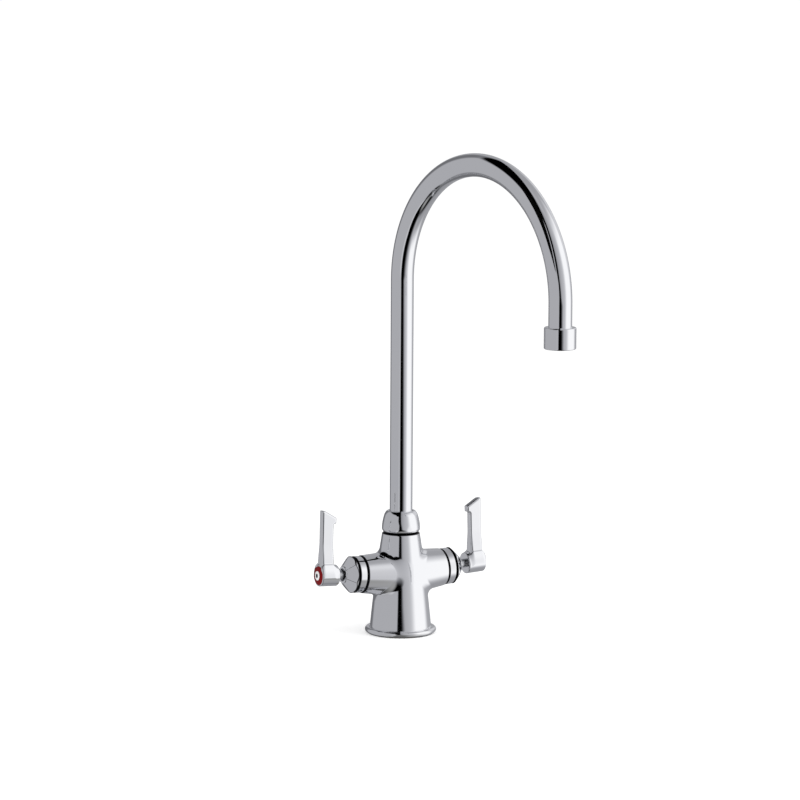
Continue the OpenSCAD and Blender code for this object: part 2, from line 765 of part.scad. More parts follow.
module stem(hand) {
    groove_h = stem_seal_t + 2*seal_side_gap;
    hole_x = spline_end_x - screw_in - cut;
    lug_x = collar_x + face_gap;
    lug_in_r = stem_d/2 - sink;
    color(steel) on_arm(hand) difference() {
        union() {
            drive_bar(disc_d - 2*tang_short, tang_w, collar_x - tang_h + slip, collar_x + sink);
            translate([0, 0, collar_x]) cylinder(d = disc_d, h = shoulder_x - collar_x);
            translate([0, 0, collar_x]) cylinder(d = stem_d, h = stem_neck_x - collar_x);
            translate([0, 0, stem_neck_x - cut]) cylinder(d = stem_neck_d, h = hub_x - stem_neck_x + cut);
            translate([0, 0, hub_x - cut]) cylinder(d = spline_d, h = spline_end_x - hub_x + cut);
            translate([0, 0, lug_x]) rotate([0, 0, lug_angle - stop_lug_angle/2])
                rotate_extrude(angle = stop_lug_angle)
                    translate([lug_in_r, 0]) square([lug_r - lug_in_r, shoulder_x - face_gap - lug_x]);
        }
        for (i = [0, 1])
            ring(stem_d + 2*cut, stem_d - 2*stem_seal_t - 2*slip,
                 stem_groove_x(i) - groove_h/2, stem_groove_x(i) + groove_h/2);
        ring(stem_d + 2*cut, clip_floor_d, clip_x - slip, clip_x + clip_t + slip);
        translate([0, 0, hole_x]) cylinder(d = screw_d + 2*thread_gap, h = spline_end_x - hole_x + cut);
    }
}

module stem_seal_rings(hand) {
    color(rubber) on_arm(hand) for (i = [0, 1])
        seal_ring(stem_d/2 - stem_seal_t/2 - slip, stem_seal_t, stem_groove_x(i));
}

module stem_clip(hand) {
    opening = clip_floor_d/3;
    color(steel) on_arm(hand) difference() {
        ring(stem_d + 2*clip_w, clip_floor_d, clip_x, clip_x + clip_t);
        translate([0, -opening/2, clip_x - cut]) cube([stem_d, opening, clip_t + 2*cut]);
    }
}

module handle_screw(hand) {
    color(steel) on_arm(hand) difference() {
        union() {
            translate([0, 0, spline_end_x - screw_in])
                cylinder(d = screw_d, h = head_x - spline_end_x + screw_in + sink);
            translate([0, 0, head_x]) cylinder(d = screw_head_d, h = screw_head_h);
        }
        translate([0, 0, head_x + screw_head_h/3]) cylinder(d = screw_head_d/2, h = screw_head_h, $fn = 6);
    }
}

// Side view of the lever: x is the distance along the arm, y the height
// above the handle axis.
module lever_side() {
    out_x = hub_end_x - lever_inset;
    in_x = out_x - lever_root_w;
    tip_x = out_x + lever_lean;
    lip_x = tip_x - lever_tip_w - lip_w;
    root_h = hub_d/2 + root_blend/2;
    corner_h = lever_h - lever_slant;
    polygon([[in_x, 0], [in_x, root_h], [tip_x - lever_tip_w, corner_h - lip_h],
             [lip_x, corner_h - lip_h + lip_rise], [lip_x, corner_h], [tip_x, lever_h],
             [out_x, root_h], [out_x, 0]]);
}

// Front view of the lever: a tapering bar with a rounded root on each side
// that runs into the hub.
module lever_edge() {
    blend_x = lever_root_t/2 + root_blend;
    blend_r = hub_d/2 + root_blend;
    blend_y = sqrt(pow(blend_r, 2) - pow(blend_x, 2));
    touch = hub_d/2/blend_r;
    polygon([[-lever_root_t/2, 0], [-lever_root_t/2, blend_y], [-lever_tip_t/2, lever_h + cut],
             [lever_tip_t/2, lever_h + cut], [lever_root_t/2, blend_y], [lever_root_t/2, 0]]);
    for (side = [-1, 1]) difference() {
        polygon([[0, 0], [side*blend_x*touch, blend_y*touch], [side*blend_x, blend_y], [0, blend_y]]);
        translate([side*blend_x, blend_y]) circle(root_blend);
    }
}

module lever(hand) {
    color(chrome) on_arm(hand) difference() {
        union() {
            translate([0, 0, hub_x]) round_disc(hub_d, hub_w, hub_round);
            intersection() {
                rotate([90, -90, 0]) linear_extrude(2*hub_d, center = true) lever_side();
                rotate([0, 0, 90]) translate([0, 0, hub_x - hub_w]) linear_extrude(3*hub_w) lever_edge();
            }
        }
        translate([0, 0, hub_x - cut]) cylinder(d = spline_d + 2*slip, h = web_x - hub_x + cut);
        translate([0, 0, web_x - cut]) cylinder(d = screw_d + 2*face_gap, h = web_t + 2*cut);
        translate([0, 0, head_x]) cylinder(d = head_room_d, h = hub_end_x - head_x + cut);
        translate([0, 0, index_x]) cylinder(d = index_d + 2*slip, h = index_seat + cut);
    }
}

module index_ring(hand) {
    color(hand < 0 ? hot_red : cold_blue) on_arm(hand) difference() {
        union() {
            translate([0, 0, index_x]) cylinder(d = index_d, h = index_seat);
            translate([0, 0, hub_end_x])
                cylinder(d1 = index_d, d2 = index_mid_d + index_band/4, h = index_crown);
        }
        translate([0, 0, index_x - cut]) cylinder(d = index_mid_d, h = index_crown + index_seat + 2*cut);
    }
}

module index_button(hand) {
    top = hub_end_x + index_crown;
    color(nylon) on_arm(hand) difference() {
        union() {
            translate([0, 0, index_x]) cylinder(d = index_mid_d, h = top - index_x);
            translate([0, 0, top])
                cylinder(d1 = index_mid_d, d2 = (index_mid_d + dimple_d)/2, h = button_bevel);
        }
        translate([0, 0, top]) cylinder(d = dimple_d, h = cut);
    }
}

faucet_body();
base_gasket();
mounting_shank();
deck_rubber_washer();
deck_steel_washer();
deck_locknut();
spout_nut();
spout_bush();
spout_tube();
spout_foot();
spout_seal_rings();
outlet_ring();
insert_washer();
insert_housing();
flow_straightener();
outlet_screen();
bonnet_ring(-1);  // hot_bonnet_ring
bonnet_nut(-1);  // hot_bonnet_nut
valve_shell(-1);  // hot_valve_shell
fixed_disc(-1);  // hot_fixed_disc
seat_seal(-1);  // hot_seat_seal
stem(-1);  // hot_stem
stem_seal_rings(-1);  // hot_stem_seal_rings
stem_clip(-1);  // hot_stem_clip
moving_disc(-1);  // hot_moving_disc
lever(-1);  // hot_lever
index_ring(-1);  // hot_index_ring
index_button(-1);  // hot_index_button
handle_screw(-1);  // hot_handle_screw
bonnet_ring(1);  // cold_bonnet_ring
bonnet_nut(1);  // cold_bonnet_nut
valve_shell(1);  // cold_valve_shell
fixed_disc(1);  // cold_fixed_disc
seat_seal(1);  // cold_seat_seal
stem(1);  // cold_stem
stem_seal_rings(1);  // cold_stem_seal_rings
stem_clip(1);  // cold_stem_clip
moving_disc(1);  // cold_moving_disc
lever(1);  // cold_lever
index_ring(1);  // cold_index_ring
index_button(1);  // cold_index_button
handle_screw(1);  // cold_handle_screw
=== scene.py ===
# %% [markdown]
# # A chrome kitchen faucet
# The packed model gives every piece of a deck-mount kitchen faucet at its real size: a
# tapered column with two side arms, a gooseneck spout that swings, and two quarter-turn
# levers. This notebook gives those pieces the soft edges and finishes of the real object.
# The pieces that show are made again as smooth meshes in the same place, and the hidden
# ones keep their CAD shape and get a material.

# %% Load the packed model
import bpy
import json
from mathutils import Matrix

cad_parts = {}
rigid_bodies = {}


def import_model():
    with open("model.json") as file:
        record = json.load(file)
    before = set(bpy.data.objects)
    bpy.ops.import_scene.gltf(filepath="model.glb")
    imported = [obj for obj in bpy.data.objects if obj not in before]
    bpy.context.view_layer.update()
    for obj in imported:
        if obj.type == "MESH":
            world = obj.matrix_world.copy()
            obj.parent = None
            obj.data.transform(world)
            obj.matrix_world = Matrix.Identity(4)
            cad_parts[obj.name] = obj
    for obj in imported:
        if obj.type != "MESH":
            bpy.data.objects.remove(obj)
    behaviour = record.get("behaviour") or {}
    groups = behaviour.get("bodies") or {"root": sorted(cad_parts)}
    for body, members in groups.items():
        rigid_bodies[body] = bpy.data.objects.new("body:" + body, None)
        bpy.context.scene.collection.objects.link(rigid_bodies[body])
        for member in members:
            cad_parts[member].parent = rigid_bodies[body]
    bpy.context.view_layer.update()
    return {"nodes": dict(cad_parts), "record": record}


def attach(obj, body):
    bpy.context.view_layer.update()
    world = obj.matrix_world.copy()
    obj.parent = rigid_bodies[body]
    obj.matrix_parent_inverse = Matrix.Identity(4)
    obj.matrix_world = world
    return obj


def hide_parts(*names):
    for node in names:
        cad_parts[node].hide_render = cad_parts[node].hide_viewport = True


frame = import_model()

# %% Other libraries
import json
import math

import bpy
import numpy as np
from mathutils import Matrix, Vector

MM = 0.001
print("numpy", np.__version__)

# %% [markdown]
# ## The camera
# The photograph was taken with a long lens from the user's side, a little to the left and
# a little above. A camera can be placed by eye, but here its place was worked out from the
# column's axis, the two handle axes and the arch, so that the picture lines up.

# %% Camera
CAMERA_TURN = math.radians(28.5)
CAMERA_LIFT = math.radians(8.418)
CAMERA_ROLL = math.radians(-0.326)
CAMERA_DISTANCE = 3.6
CAMERA_AIM_SIDE = -0.001386
CAMERA_AIM_HEIGHT = 0.194203
FOCAL_PIXELS = 4379.64
PICTURE_PIXELS = 800

side = Vector((math.cos(CAMERA_TURN), -math.sin(CAMERA_TURN), 0))
back = Vector((-math.sin(CAMERA_TURN)*math.cos(CAMERA_LIFT),
               -math.cos(CAMERA_TURN)*math.cos(CAMERA_LIFT), math.sin(CAMERA_LIFT)))
above = back.cross(side)
rolled_side = math.cos(CAMERA_ROLL)*side - math.sin(CAMERA_ROLL)*above
rolled_above = math.sin(CAMERA_ROLL)*side + math.cos(CAMERA_ROLL)*above
place = Vector((0, 0, CAMERA_AIM_HEIGHT)) + CAMERA_AIM_SIDE*side + CAMERA_DISTANCE*back
camera_data = bpy.data.cameras.new("camera")
camera_data.sensor_width = 36
camera_data.lens = FOCAL_PIXELS/PICTURE_PIXELS*camera_data.sensor_width
camera_data.clip_end = 50
camera = bpy.data.objects.new("camera", camera_data)
camera.matrix_world = Matrix((
    (rolled_side.x, rolled_above.x, back.x, place.x),
    (rolled_side.y, rolled_above.y, back.y, place.y),
    (rolled_side.z, rolled_above.z, back.z, place.z),
    (0, 0, 0, 1)))
bpy.context.scene.collection.objects.link(camera)
bpy.context.scene.camera = camera
print("lens %.1f mm, camera at" % camera_data.lens, [round(v, 3) for v in place])

# %% [markdown]
# ## Shader maths
# A material whose polish, dust or marks vary over the surface is a small formula. Wiring
# it by hand takes many nodes, so one class wraps a socket and lets Python's operators add
# the nodes: numbers go through Math nodes, and colours and vectors through Mix and Vector
# Math nodes, because a Math node would turn a colour grey.

# %% A socket that takes part in sums
class Signal:
    """An output socket in a node tree, which Python's operators can work with."""

    def __init__(self, tree, socket):
        self.tree = tree
        self.socket = socket
        self.is_number = socket.type == "VALUE"

    def apply(self, operation, other=0):
        """Any other Math operation on this number, such as ABSOLUTE or ARCTAN2."""
        return self.combine(operation, self, other)

    def combine(self, operation, first, second):
        wide = any(isinstance(s, Signal) and not s.is_number for s in (first, second))
        kind = "ShaderNodeVectorMath" if wide else "ShaderNodeMath"
        node = self.tree.nodes.new(kind)
        node.operation = operation
        for slot_number, value in enumerate((first, second)):
            connect(self.tree, value, node.inputs[slot_number])
        return Signal(self.tree, node.outputs[0])

    def __add__(self, other):
        return self.combine("ADD", self, other)

    def __radd__(self, other):
        return self.combine("ADD", other, self)

    def __sub__(self, other):
        return self.combine("SUBTRACT", self, other)

    def __rsub__(self, other):
        return self.combine("SUBTRACT", other, self)

    def __mul__(self, other):
        return self.combine("MULTIPLY", self, other)

    def __rmul__(self, other):
        return self.combine("MULTIPLY", other, self)

    def __truediv__(self, other):
        return self.combine("DIVIDE", self, other)

    def __pow__(self, other):
        return self.combine("POWER", self, other)


def connect(tree, value, socket):
    """Links a Signal to a socket, or sets the socket's own value."""
    if isinstance(value, Signal):
        tree.links.new(value.socket, socket)
    elif hasattr(socket.default_value, "__len__") and not hasattr(value, "__len__"):
        socket.default_value = [value]*len(socket.default_value)
    else:
        socket.default_value = value


print("Signal overloads", [n for n in vars(Signal) if n.startswith("__r")])


# %% One way to add a node
class Tree:
    """A node tree, to which nodes are added one way."""

    def __init__(self, tree):
        self.tree = tree

    def node(self, kind, settings=None, **inputs):
        """Adds a node: its settings first, then its sockets by name."""
        new = self.tree.nodes.new(kind)
        for key, value in (settings or {}).items():
            if key == "stops":
                set_stops(new.color_ramp, value)
            else:
                setattr(new, key, value)
        for key, value in inputs.items():
            connect(self.tree, value, new.inputs[key.replace("_", " ")])
        return new

    def out(self, node, socket=0):
        return Signal(self.tree, node.outputs[socket])


def set_stops(ramp, stops):
    """Puts (place, colour) stops on a colour ramp."""
    while len(ramp.elements) > 1:
        ramp.elements.remove(ramp.elements[-1])
    ramp.elements[0].position = stops[0][0]
    ramp.elements[0].color = stops[0][1]
    for place_on_ramp, colour in stops[1:]:
        ramp.elements.new(place_on_ramp).color = colour


print("every node comes from Tree.node")


# %% A material to paint with
class Paint(Tree):
    """A material's node tree with the Principled shader that it ends in."""

    def __init__(self, name):
        self.material = bpy.data.materials.new(name)
        self.material.use_nodes = True
        super().__init__(self.material.node_tree)
        self.shader = self.tree.nodes["Principled BSDF"]

    def place(self):
        """Where a point lies in the object's own frame, in metres."""
        return self.out(self.node("ShaderNodeTexCoord"), "Object")

    def parts(self, vector):
        """The X, Y and Z of a vector."""
        made = self.node("ShaderNodeSeparateXYZ", None, Vector=vector)
        return [self.out(made, axis) for axis in "XYZ"]

    def length(self, vector):
        """How long a vector is."""
        made = self.node("ShaderNodeVectorMath", {"operation": "LENGTH"}, Vector=vector)
        return self.out(made, "Value")

    def noise(self, scale, detail=2.0):
        """Smooth noise from 0 to 1 that is fixed to the object; scale is in marks per metre."""
        made = self.node("ShaderNodeTexNoise", {"noise_dimensions": "3D"}, Vector=self.place(),
                         Scale=scale, Detail=detail)
        return self.out(made, "Fac")

    def curve(self, value, stops):
        """A number that runs straight from stop to stop, each a (value, result) pair."""
        places, results = zip(*stops)
        spread = (max(results) - min(results)) or 1
        scaled = [((p - places[0])/(places[-1] - places[0]), grey((r - min(results))/spread))
                  for p, r in stops]
        ramp = self.node("ShaderNodeValToRGB", {"stops": scaled},
                         Fac=(value - places[0])/(places[-1] - places[0]))
        level = self.out(self.node("ShaderNodeRGBToBW", None, Color=self.out(ramp)))
        return min(results) + spread*level

    def step(self, value, edge, softness):
        """0 below an edge and 1 above it, with a soft change."""
        made = self.node("ShaderNodeMapRange", {"interpolation_type": "SMOOTHSTEP"}, Value=value,
                         From_Min=edge - softness, From_Max=edge + softness)
        return self.out(made)

    def band(self, value, low, high, softness, high_softness=None):
        """1 between two edges and 0 outside them; the high edge may have its own softness."""
        return self.step(value, low, softness)*(1 - self.step(value, high, high_softness or softness))

    def grey_of(self, number):
        """A number as a vector or colour of three equal parts."""
        made = self.node("ShaderNodeCombineXYZ", None, X=number, Y=number, Z=number)
        return self.out(made)

    def mix(self, low, high, mask):
        """A colour that runs from low to high as mask goes from 0 to 1."""
        made = self.node("ShaderNodeMix", {"data_type": "RGBA"})
        connect(self.tree, mask, made.inputs["Factor"])
        connect(self.tree, low, made.inputs[6])
        connect(self.tree, high, made.inputs[7])
        return Signal(self.tree, made.outputs[2])

    def bump(self, height, strength, distance):
        made = self.node("ShaderNodeBump", None, Strength=strength, Distance=distance, Height=height)
        connect(self.tree, Signal(self.tree, made.outputs[0]), self.shader.inputs["Normal"])

    def set(self, **inputs):
        """Sets or links the shader's sockets by name."""
        for key, value in inputs.items():
            connect(self.tree, value, self.shader.inputs[key.replace("_", " ")])
        return self.material


def grey(level):
    return (level, level, level, 1)


print("Paint is ready")

# %% [markdown]
# ## Finishes
# The body, spout, nuts and levers are brass with polished chrome plate. Chrome has nearly
# no colour of its own: it shows the studio. What makes it look real is that the polish is
# never perfect, so its roughness drifts a little and very faint buffing waves bend the
# reflections. A flat roughness would look like computer chrome. The grooves beside the bonnet
# rings and under the spout nut get painted shade, a near-black colour and a rougher finish,
# and the bonnet nuts' creases get a painted dark reflection line.

# %% Chrome
AXIS_HEIGHT = 49.8
ARM_RISE = math.radians(3)
ARM_GROOVES = [(36.95, 39.25), (44.35, 46.8)]
COLUMN_GROOVE = (83.3, 85.15)
COLUMN_GROOVE_END = (30, 1)
GROOVE_SOFTNESS = 0.12
SIXTH = math.pi/3
NUT_FLAT_AT = math.radians(42)
CREASE_EDGE, CREASE_FOOT, CREASE_TIP = (0.16, 0.14), (47.6, 0.3), (7.4, 0.2)
CHROME_ROUGHNESS, BUFFING_WAVE = 0.055, 0.04


def arm_places(paint):
    """Places along, behind and above the nearer arm's axis, and the height, in millimetres."""
    across, behind, height = paint.parts(paint.place()*(1/MM))
    across = across.apply("ABSOLUTE")
    lift = height - AXIS_HEIGHT
    along = across*math.cos(ARM_RISE) + lift*math.sin(ARM_RISE)
    return along, behind, lift*math.cos(ARM_RISE) - across*math.sin(ARM_RISE), height


def groove_mask(paint):
    """1 in the grooves beside the bonnet rings and under the spout nut, where shade is painted."""
    along, *_, height = arm_places(paint)
    mask = paint.band(height, *COLUMN_GROOVE, GROOVE_SOFTNESS)*(1 - paint.step(along, *COLUMN_GROOVE_END))
    for low, high in ARM_GROOVES:
        mask = mask + paint.band(along, low, high, GROOVE_SOFTNESS)
    return mask


def crease_mask(paint):
    """1 along the creases between the six sides of a bonnet nut, where a dark reflection line is painted.
    """
    along, behind, up, _ = arm_places(paint)
    turns = (behind.apply("ARCTAN2", up) - NUT_FLAT_AT)/SIXTH
    off_crease = (turns.apply("FRACT") - 0.5).apply("ABSOLUTE")*SIXTH
    radius = (behind*behind + up*up)**0.5
    line = 1 - paint.step(off_crease*radius, *CREASE_EDGE)
    return line*paint.step(along, *CREASE_FOOT)*paint.step(radius, *CREASE_TIP)


def chrome_paint(name, shade_grooves=False, paint_crease_lines=False):
    paint = Paint(name)
    haze = paint.noise(scale=35, detail=3)
    smudge = paint.noise(scale=11, detail=1)
    buffing = paint.noise(scale=160, detail=2)
    colour = paint.mix((0.93, 0.94, 0.97, 1), (0.985, 0.985, 0.985, 1), smudge)
    rough = CHROME_ROUGHNESS*(0.6 + 0.8*haze)
    # Painted shade: the grooves get a near-black colour and a rougher finish.
    if shade_grooves:
        painted_groove_shade = groove_mask(paint)
        colour = paint.mix(colour, (0.015, 0.015, 0.018, 1), painted_groove_shade)
        rough = rough + 0.3*painted_groove_shade
    # Painted dark reflection: a near-black line along each crease of the bonnet nuts.
    if paint_crease_lines:
        colour = paint.mix(colour, (0.06, 0.06, 0.065, 1), crease_mask(paint))
    paint.bump(buffing, strength=BUFFING_WAVE, distance=0.0002)
    return paint.set(Base_Color=colour, Metallic=1.0, Roughness=rough)


chrome = chrome_paint("polished_chrome")
groove_shaded_chrome = chrome_paint("chrome_with_painted_groove_shade", shade_grooves=True)
nut_chrome = chrome_paint("bonnet_nut_chrome_with_painted_shade_and_crease_lines", shade_grooves=True, paint_crease_lines=True)
print("finishes:", chrome.name, groove_shaded_chrome.name, nut_chrome.name)

# %% [markdown]
# The parts that a plater never sees stay as machined: brass valves, a steel washer and
# screws, rubber rings, white ceramic discs and nylon. One plain colour each would look like
# plastic, so turned metal gets a fine grain and stains, and moulded parts a dusty grain.

# %% Plain metals, rubber, ceramic and nylon
def turned_metal(name, colour, worn, roughness):
    paint = Paint(name)
    grain = paint.noise(scale=900, detail=2)
    stain = paint.noise(scale=60, detail=4)
    paint.bump(grain, strength=0.12, distance=0.0001)
    return paint.set(Base_Color=paint.mix(colour, worn, stain), Metallic=1.0,
                     Roughness=roughness*(0.7 + 0.6*stain))


def moulded(name, colour, worn, roughness, grain_scale, coat=0.0, gloss=0.5):
    paint = Paint(name)
    grain = paint.noise(scale=grain_scale, detail=3)
    stain = paint.noise(scale=45, detail=4)
    paint.bump(grain, strength=0.15, distance=0.0001)
    return paint.set(Base_Color=paint.mix(colour, worn, stain),
                     Roughness=roughness*(0.8 + 0.4*grain), Coat_Weight=coat,
                     Specular_IOR_Level=gloss)


finishes = {
    "chrome": chrome,
    "brass": turned_metal("turned_brass", (0.78, 0.58, 0.27, 1), (0.66, 0.47, 0.2, 1), 0.28),
    "steel": turned_metal("bright_steel", (0.62, 0.63, 0.65, 1), (0.5, 0.51, 0.53, 1), 0.25),
    "rubber": moulded("black_rubber", (0.02, 0.02, 0.022, 1), (0.05, 0.05, 0.05, 1), 0.6, 700),
    "ceramic": moulded("white_ceramic", (0.86, 0.85, 0.8, 1), (0.8, 0.79, 0.74, 1), 0.2, 900),
    "nylon": moulded("natural_nylon", (0.8, 0.79, 0.74, 1), (0.72, 0.71, 0.66, 1), 0.45, 500),
    "hot_red": moulded("red_index_ring", (0.19, 0.001, 0.003, 1), (0.15, 0.001, 0.002, 1), 0.35,
                       600, gloss=0.12),
    "cold_blue": moulded("blue_index_ring", (0.01, 0.04, 0.22, 1), (0.006, 0.025, 0.15, 1), 0.22,
                         600, coat=0.5),
}
print("finishes:", ", ".join(finishes))

# %% [markdown]
# ## Dressing the CAD nodes
# Each node names the finish that the record gives it. The pieces that show are made again
# below; every other node keeps its CAD mesh and gets its finish here. Both white buttons
# are made again with a finish of their own, so a plain one stands in for them.

# %% Finish each CAD node
plain_white = Paint("white_index_button").material
finish_of = {part["node"]: part["material_slot"] for part in frame["record"]["subparts"]}


def dress(node, material):
    target = frame["nodes"][node]
    target.data.materials.clear()
    target.data.materials.append(material)


for node, slot_name in finish_of.items():
    dress(node, finishes.get(slot_name, plain_white))
print("dressed", len(finish_of), "nodes")

# %% [markdown]
# ## Smooth solids from a formula
# Cast and polished parts flow into each other with small fillets. A mesh could be bevelled
# by hand, but polished chrome shows every uneven face. Here a part is a formula: a number
# that is negative inside the metal and positive outside. Two helpers join or cut such
# formulas with a round fillet, and a surface net turns the formula into a mesh whose
# corners are then moved exactly onto the surface, with the formula's own normals.

# %% Joining and cutting with a fillet
def rounded_join(first, second, radius):
    """The union of two solids with a concave fillet where they meet."""
    near_first = np.maximum(radius - first, 0)
    near_second = np.maximum(radius - second, 0)
    return np.maximum(radius, np.minimum(first, second)) - np.hypot(near_first, near_second)


def rounded_overlap(first, second, radius):
    """What two solids share, with its edge rounded off."""
    return -rounded_join(-first, -second, radius)


def bulged_wall(low, high, arc_radius, radius, height):
    """Distance outside a turned wall that bulges from one (radius, height) point to another."""
    run = high - low
    away = math.sqrt(arc_radius**2 - (run @ run)/4)
    inwards = np.array([-run[1], run[0]])/np.linalg.norm(run)
    middle = (low + high)/2 + away*inwards
    return np.hypot(radius - middle[0], height - middle[1]) - arc_radius


def off_flat_angle(angle):
    """How far an angle is from the middle of the nearest of six flats."""
    return np.abs((angle + SIXTH/2) % SIXTH - SIXTH/2)


def ease(value, start, end):
    """0 before the start and 1 after the end, with a soft change between them."""
    share = np.clip((value - start)/(end - start), 0, 1)
    return share*share*(3 - 2*share)


print("fillet at a corner:", rounded_join(np.array([1.0]), np.array([1.0]), 2.0))


# %% A surface net
CUBE_EDGES = [(corner, axis) for axis in range(3)
              for corner in [(a, b, c) for a in (0, 1) for b in (0, 1) for c in (0, 1)]
              if corner[axis] == 0]


def surface_net(solid, low, high, step):
    """A closed quad mesh of the surface where solid(points) is 0, between two corners."""
    sizes = [int(math.ceil((high[k] - low[k])/step)) + 1 for k in range(3)]
    axes = [low[k] + step*np.arange(sizes[k]) for k in range(3)]
    points = np.stack(np.meshgrid(*axes, indexing="ij"), -1).reshape(-1, 3)
    value = solid(points).reshape(sizes)
    inside = value < 0
    cells = np.zeros([n - 1 for n in sizes], int)
    for a in (0, 1):
        for b in (0, 1):
            for c in (0, 1):
                cells += inside[a:sizes[0] - 1 + a, b:sizes[1] - 1 + b, c:sizes[2] - 1 + c]
    active = np.argwhere((cells > 0) & (cells < 8))
    number = np.full(cells.shape, -1)
    number[tuple(active.T)] = np.arange(len(active))
    total = np.zeros((len(active), 3))
    count = np.zeros(len(active))
    for corner, axis in CUBE_EDGES:
        start = active + np.array(corner)
        end = start + np.eye(3, dtype=int)[axis]
        here = value[tuple(start.T)]
        there = value[tuple(end.T)]
        crosses = (here < 0) != (there < 0)
        share = np.where(crosses, here/np.where(crosses, here - there, 1), 0)
        total += crosses[:, None]*(np.array(corner) + share[:, None]*np.eye(3)[axis])
        count += crosses
    vertices = np.array(low) + step*(active + total/count[:, None])
    faces = []
    for axis in range(3):
        u, v = (axis + 1) % 3, (axis + 2) % 3
        near = [slice(None)]*3
        far = [slice(None)]*3
        near[axis] = slice(0, sizes[axis] - 1)
        far[axis] = slice(1, sizes[axis])
        change = inside[tuple(near)] != inside[tuple(far)]
        edges = np.argwhere(change)
        edges = edges[(edges[:, u] > 0) & (edges[:, v] > 0)
                      & (edges[:, u] < sizes[u] - 1) & (edges[:, v] < sizes[v] - 1)]
        step_u = np.eye(3, dtype=int)[u]
        step_v = np.eye(3, dtype=int)[v]
        ring = [edges - step_u - step_v, edges - step_v, edges, edges - step_u]
        quads = np.stack([number[tuple(r.T)] for r in ring], 1)
        leaving = inside[tuple(edges.T)]
        quads[~leaving] = quads[~leaving][:, ::-1]
        faces.append(quads)
    return vertices, np.concatenate(faces)


def slope(solid, points, reach=0.01):
    """The formula's gradient, by differences over reach."""
    result = np.empty_like(points)
    for k in range(3):
        offset = np.zeros(3)
        offset[k] = reach
        result[:, k] = (solid(points + offset) - solid(points - offset))/(2*reach)
    return result


def fitted_net(solid, low, high, step):
    """A surface net whose vertices lie on the surface, with their normals."""
    vertices, faces = surface_net(solid, low, high, step)
    start = vertices.copy()
    for _ in range(6):
        gradient = slope(solid, vertices)
        steep = np.maximum((gradient**2).sum(1), 0.2)
        vertices = vertices - (solid(vertices)/steep)[:, None]*gradient
        vertices = start + np.clip(vertices - start, -step, step)
    normals = slope(solid, vertices)
    normals /= np.maximum(np.linalg.norm(normals, axis=1), 1e-6)[:, None]
    return vertices, faces, normals


test_vertices, test_faces = surface_net(lambda p: np.linalg.norm(p, axis=1) - 4, (-5,)*3, (5,)*3, 1.0)
print("a test ball has", len(test_vertices), "vertices and", len(test_faces), "faces")


# %% Making a Blender piece
def make_piece(name, shape, material, body, node):
    """A smooth mesh object that rides on a body and stands for a CAD node. Its shape is
    vertices in millimetres, faces, and a normal for each vertex or each face's corner."""
    vertices, faces, normals = shape
    mesh = bpy.data.meshes.new(name)
    mesh.from_pydata([tuple(v) for v in vertices*MM], [], [tuple(f) for f in faces])
    mesh.materials.append(material)
    mesh.shade_smooth()
    if len(normals) == len(mesh.vertices):
        mesh.normals_split_custom_set_from_vertices([tuple(n) for n in normals])
    else:
        mesh.normals_split_custom_set([tuple(n) for n in normals])
    piece = bpy.data.objects.new(name, mesh)
    bpy.context.scene.collection.objects.link(piece)
    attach(piece, body)
    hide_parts(node)


print("pieces are made in millimetres and placed in metres")

# %% [markdown]
# ## Two arms, one frame each
# Both arms rise three degrees outwards, and every piece on them turns about that rising
# axis. The pieces are drawn once in the arm's own frame: first the distance along the arm,
# then the distance to the back, then the height above the arm's axis. The hot side is the
# cold side's mirror image, so its faces are turned over.

# %% From the arm's frame to the object's
COLD, HOT = 1, -1
SIDES = {"hot": HOT, "cold": COLD}


def arm_to_object(points, hand):
    along, behind, up = np.asarray(points, float).T
    across = along*math.cos(ARM_RISE) - up*math.sin(ARM_RISE)
    height = AXIS_HEIGHT + along*math.sin(ARM_RISE) + up*math.cos(ARM_RISE)
    return np.stack([hand*across, behind, height], 1)


def object_to_arm(points, hand):
    across = hand*points[:, 0]
    height = points[:, 2] - AXIS_HEIGHT
    along = across*math.cos(ARM_RISE) + height*math.sin(ARM_RISE)
    up = height*math.cos(ARM_RISE) - across*math.sin(ARM_RISE)
    return along, points[:, 1], up


def turn_normals(normals, hand):
    return arm_to_object(normals, hand) - arm_to_object(np.zeros((1, 3)), hand)


def make_on_arm(name, hand, shape, material, body, node):
    """Places a piece that was drawn in the arm's frame on one side."""
    vertices, faces, normals = shape
    if hand == HOT:
        faces = [tuple(f)[::-1] for f in faces]
    if len(normals) != len(vertices):
        normals = flip_loops(normals, faces) if hand == HOT else normals
    placed = (arm_to_object(vertices, hand), faces, turn_normals(normals, hand))
    make_piece(name, placed, material, body, node)


def make_chrome_pair(piece, shape, material, body, node):
    """Makes a chrome piece on both arms; names begin with the side's, and so may the body's."""
    for name, hand in SIDES.items():
        make_on_arm(name + "_" + piece, hand, shape, material, body.format(name),
                    name + "_" + node)


def flip_loops(normals, faces):
    """Turns the order of the normals inside each face, as the face itself was turned."""
    flipped = []
    first = 0
    for face in faces:
        flipped.extend(normals[first:first + len(face)][::-1])
        first += len(face)
    return np.array(flipped)


print("a point 76.6 mm out on the cold arm:", arm_to_object([[76.6, 0, 0]], COLD).round(2))

# %% [markdown]
# ## The body
# The column, its foot bead and both arms are one casting. The column's side is a slight
# arc, the arms are shallow cones, and the polisher has left small fillets where they meet:
# tight at the front and wider above and below. The bores for the shank and the valves are
# cut out of it, as in the CAD.

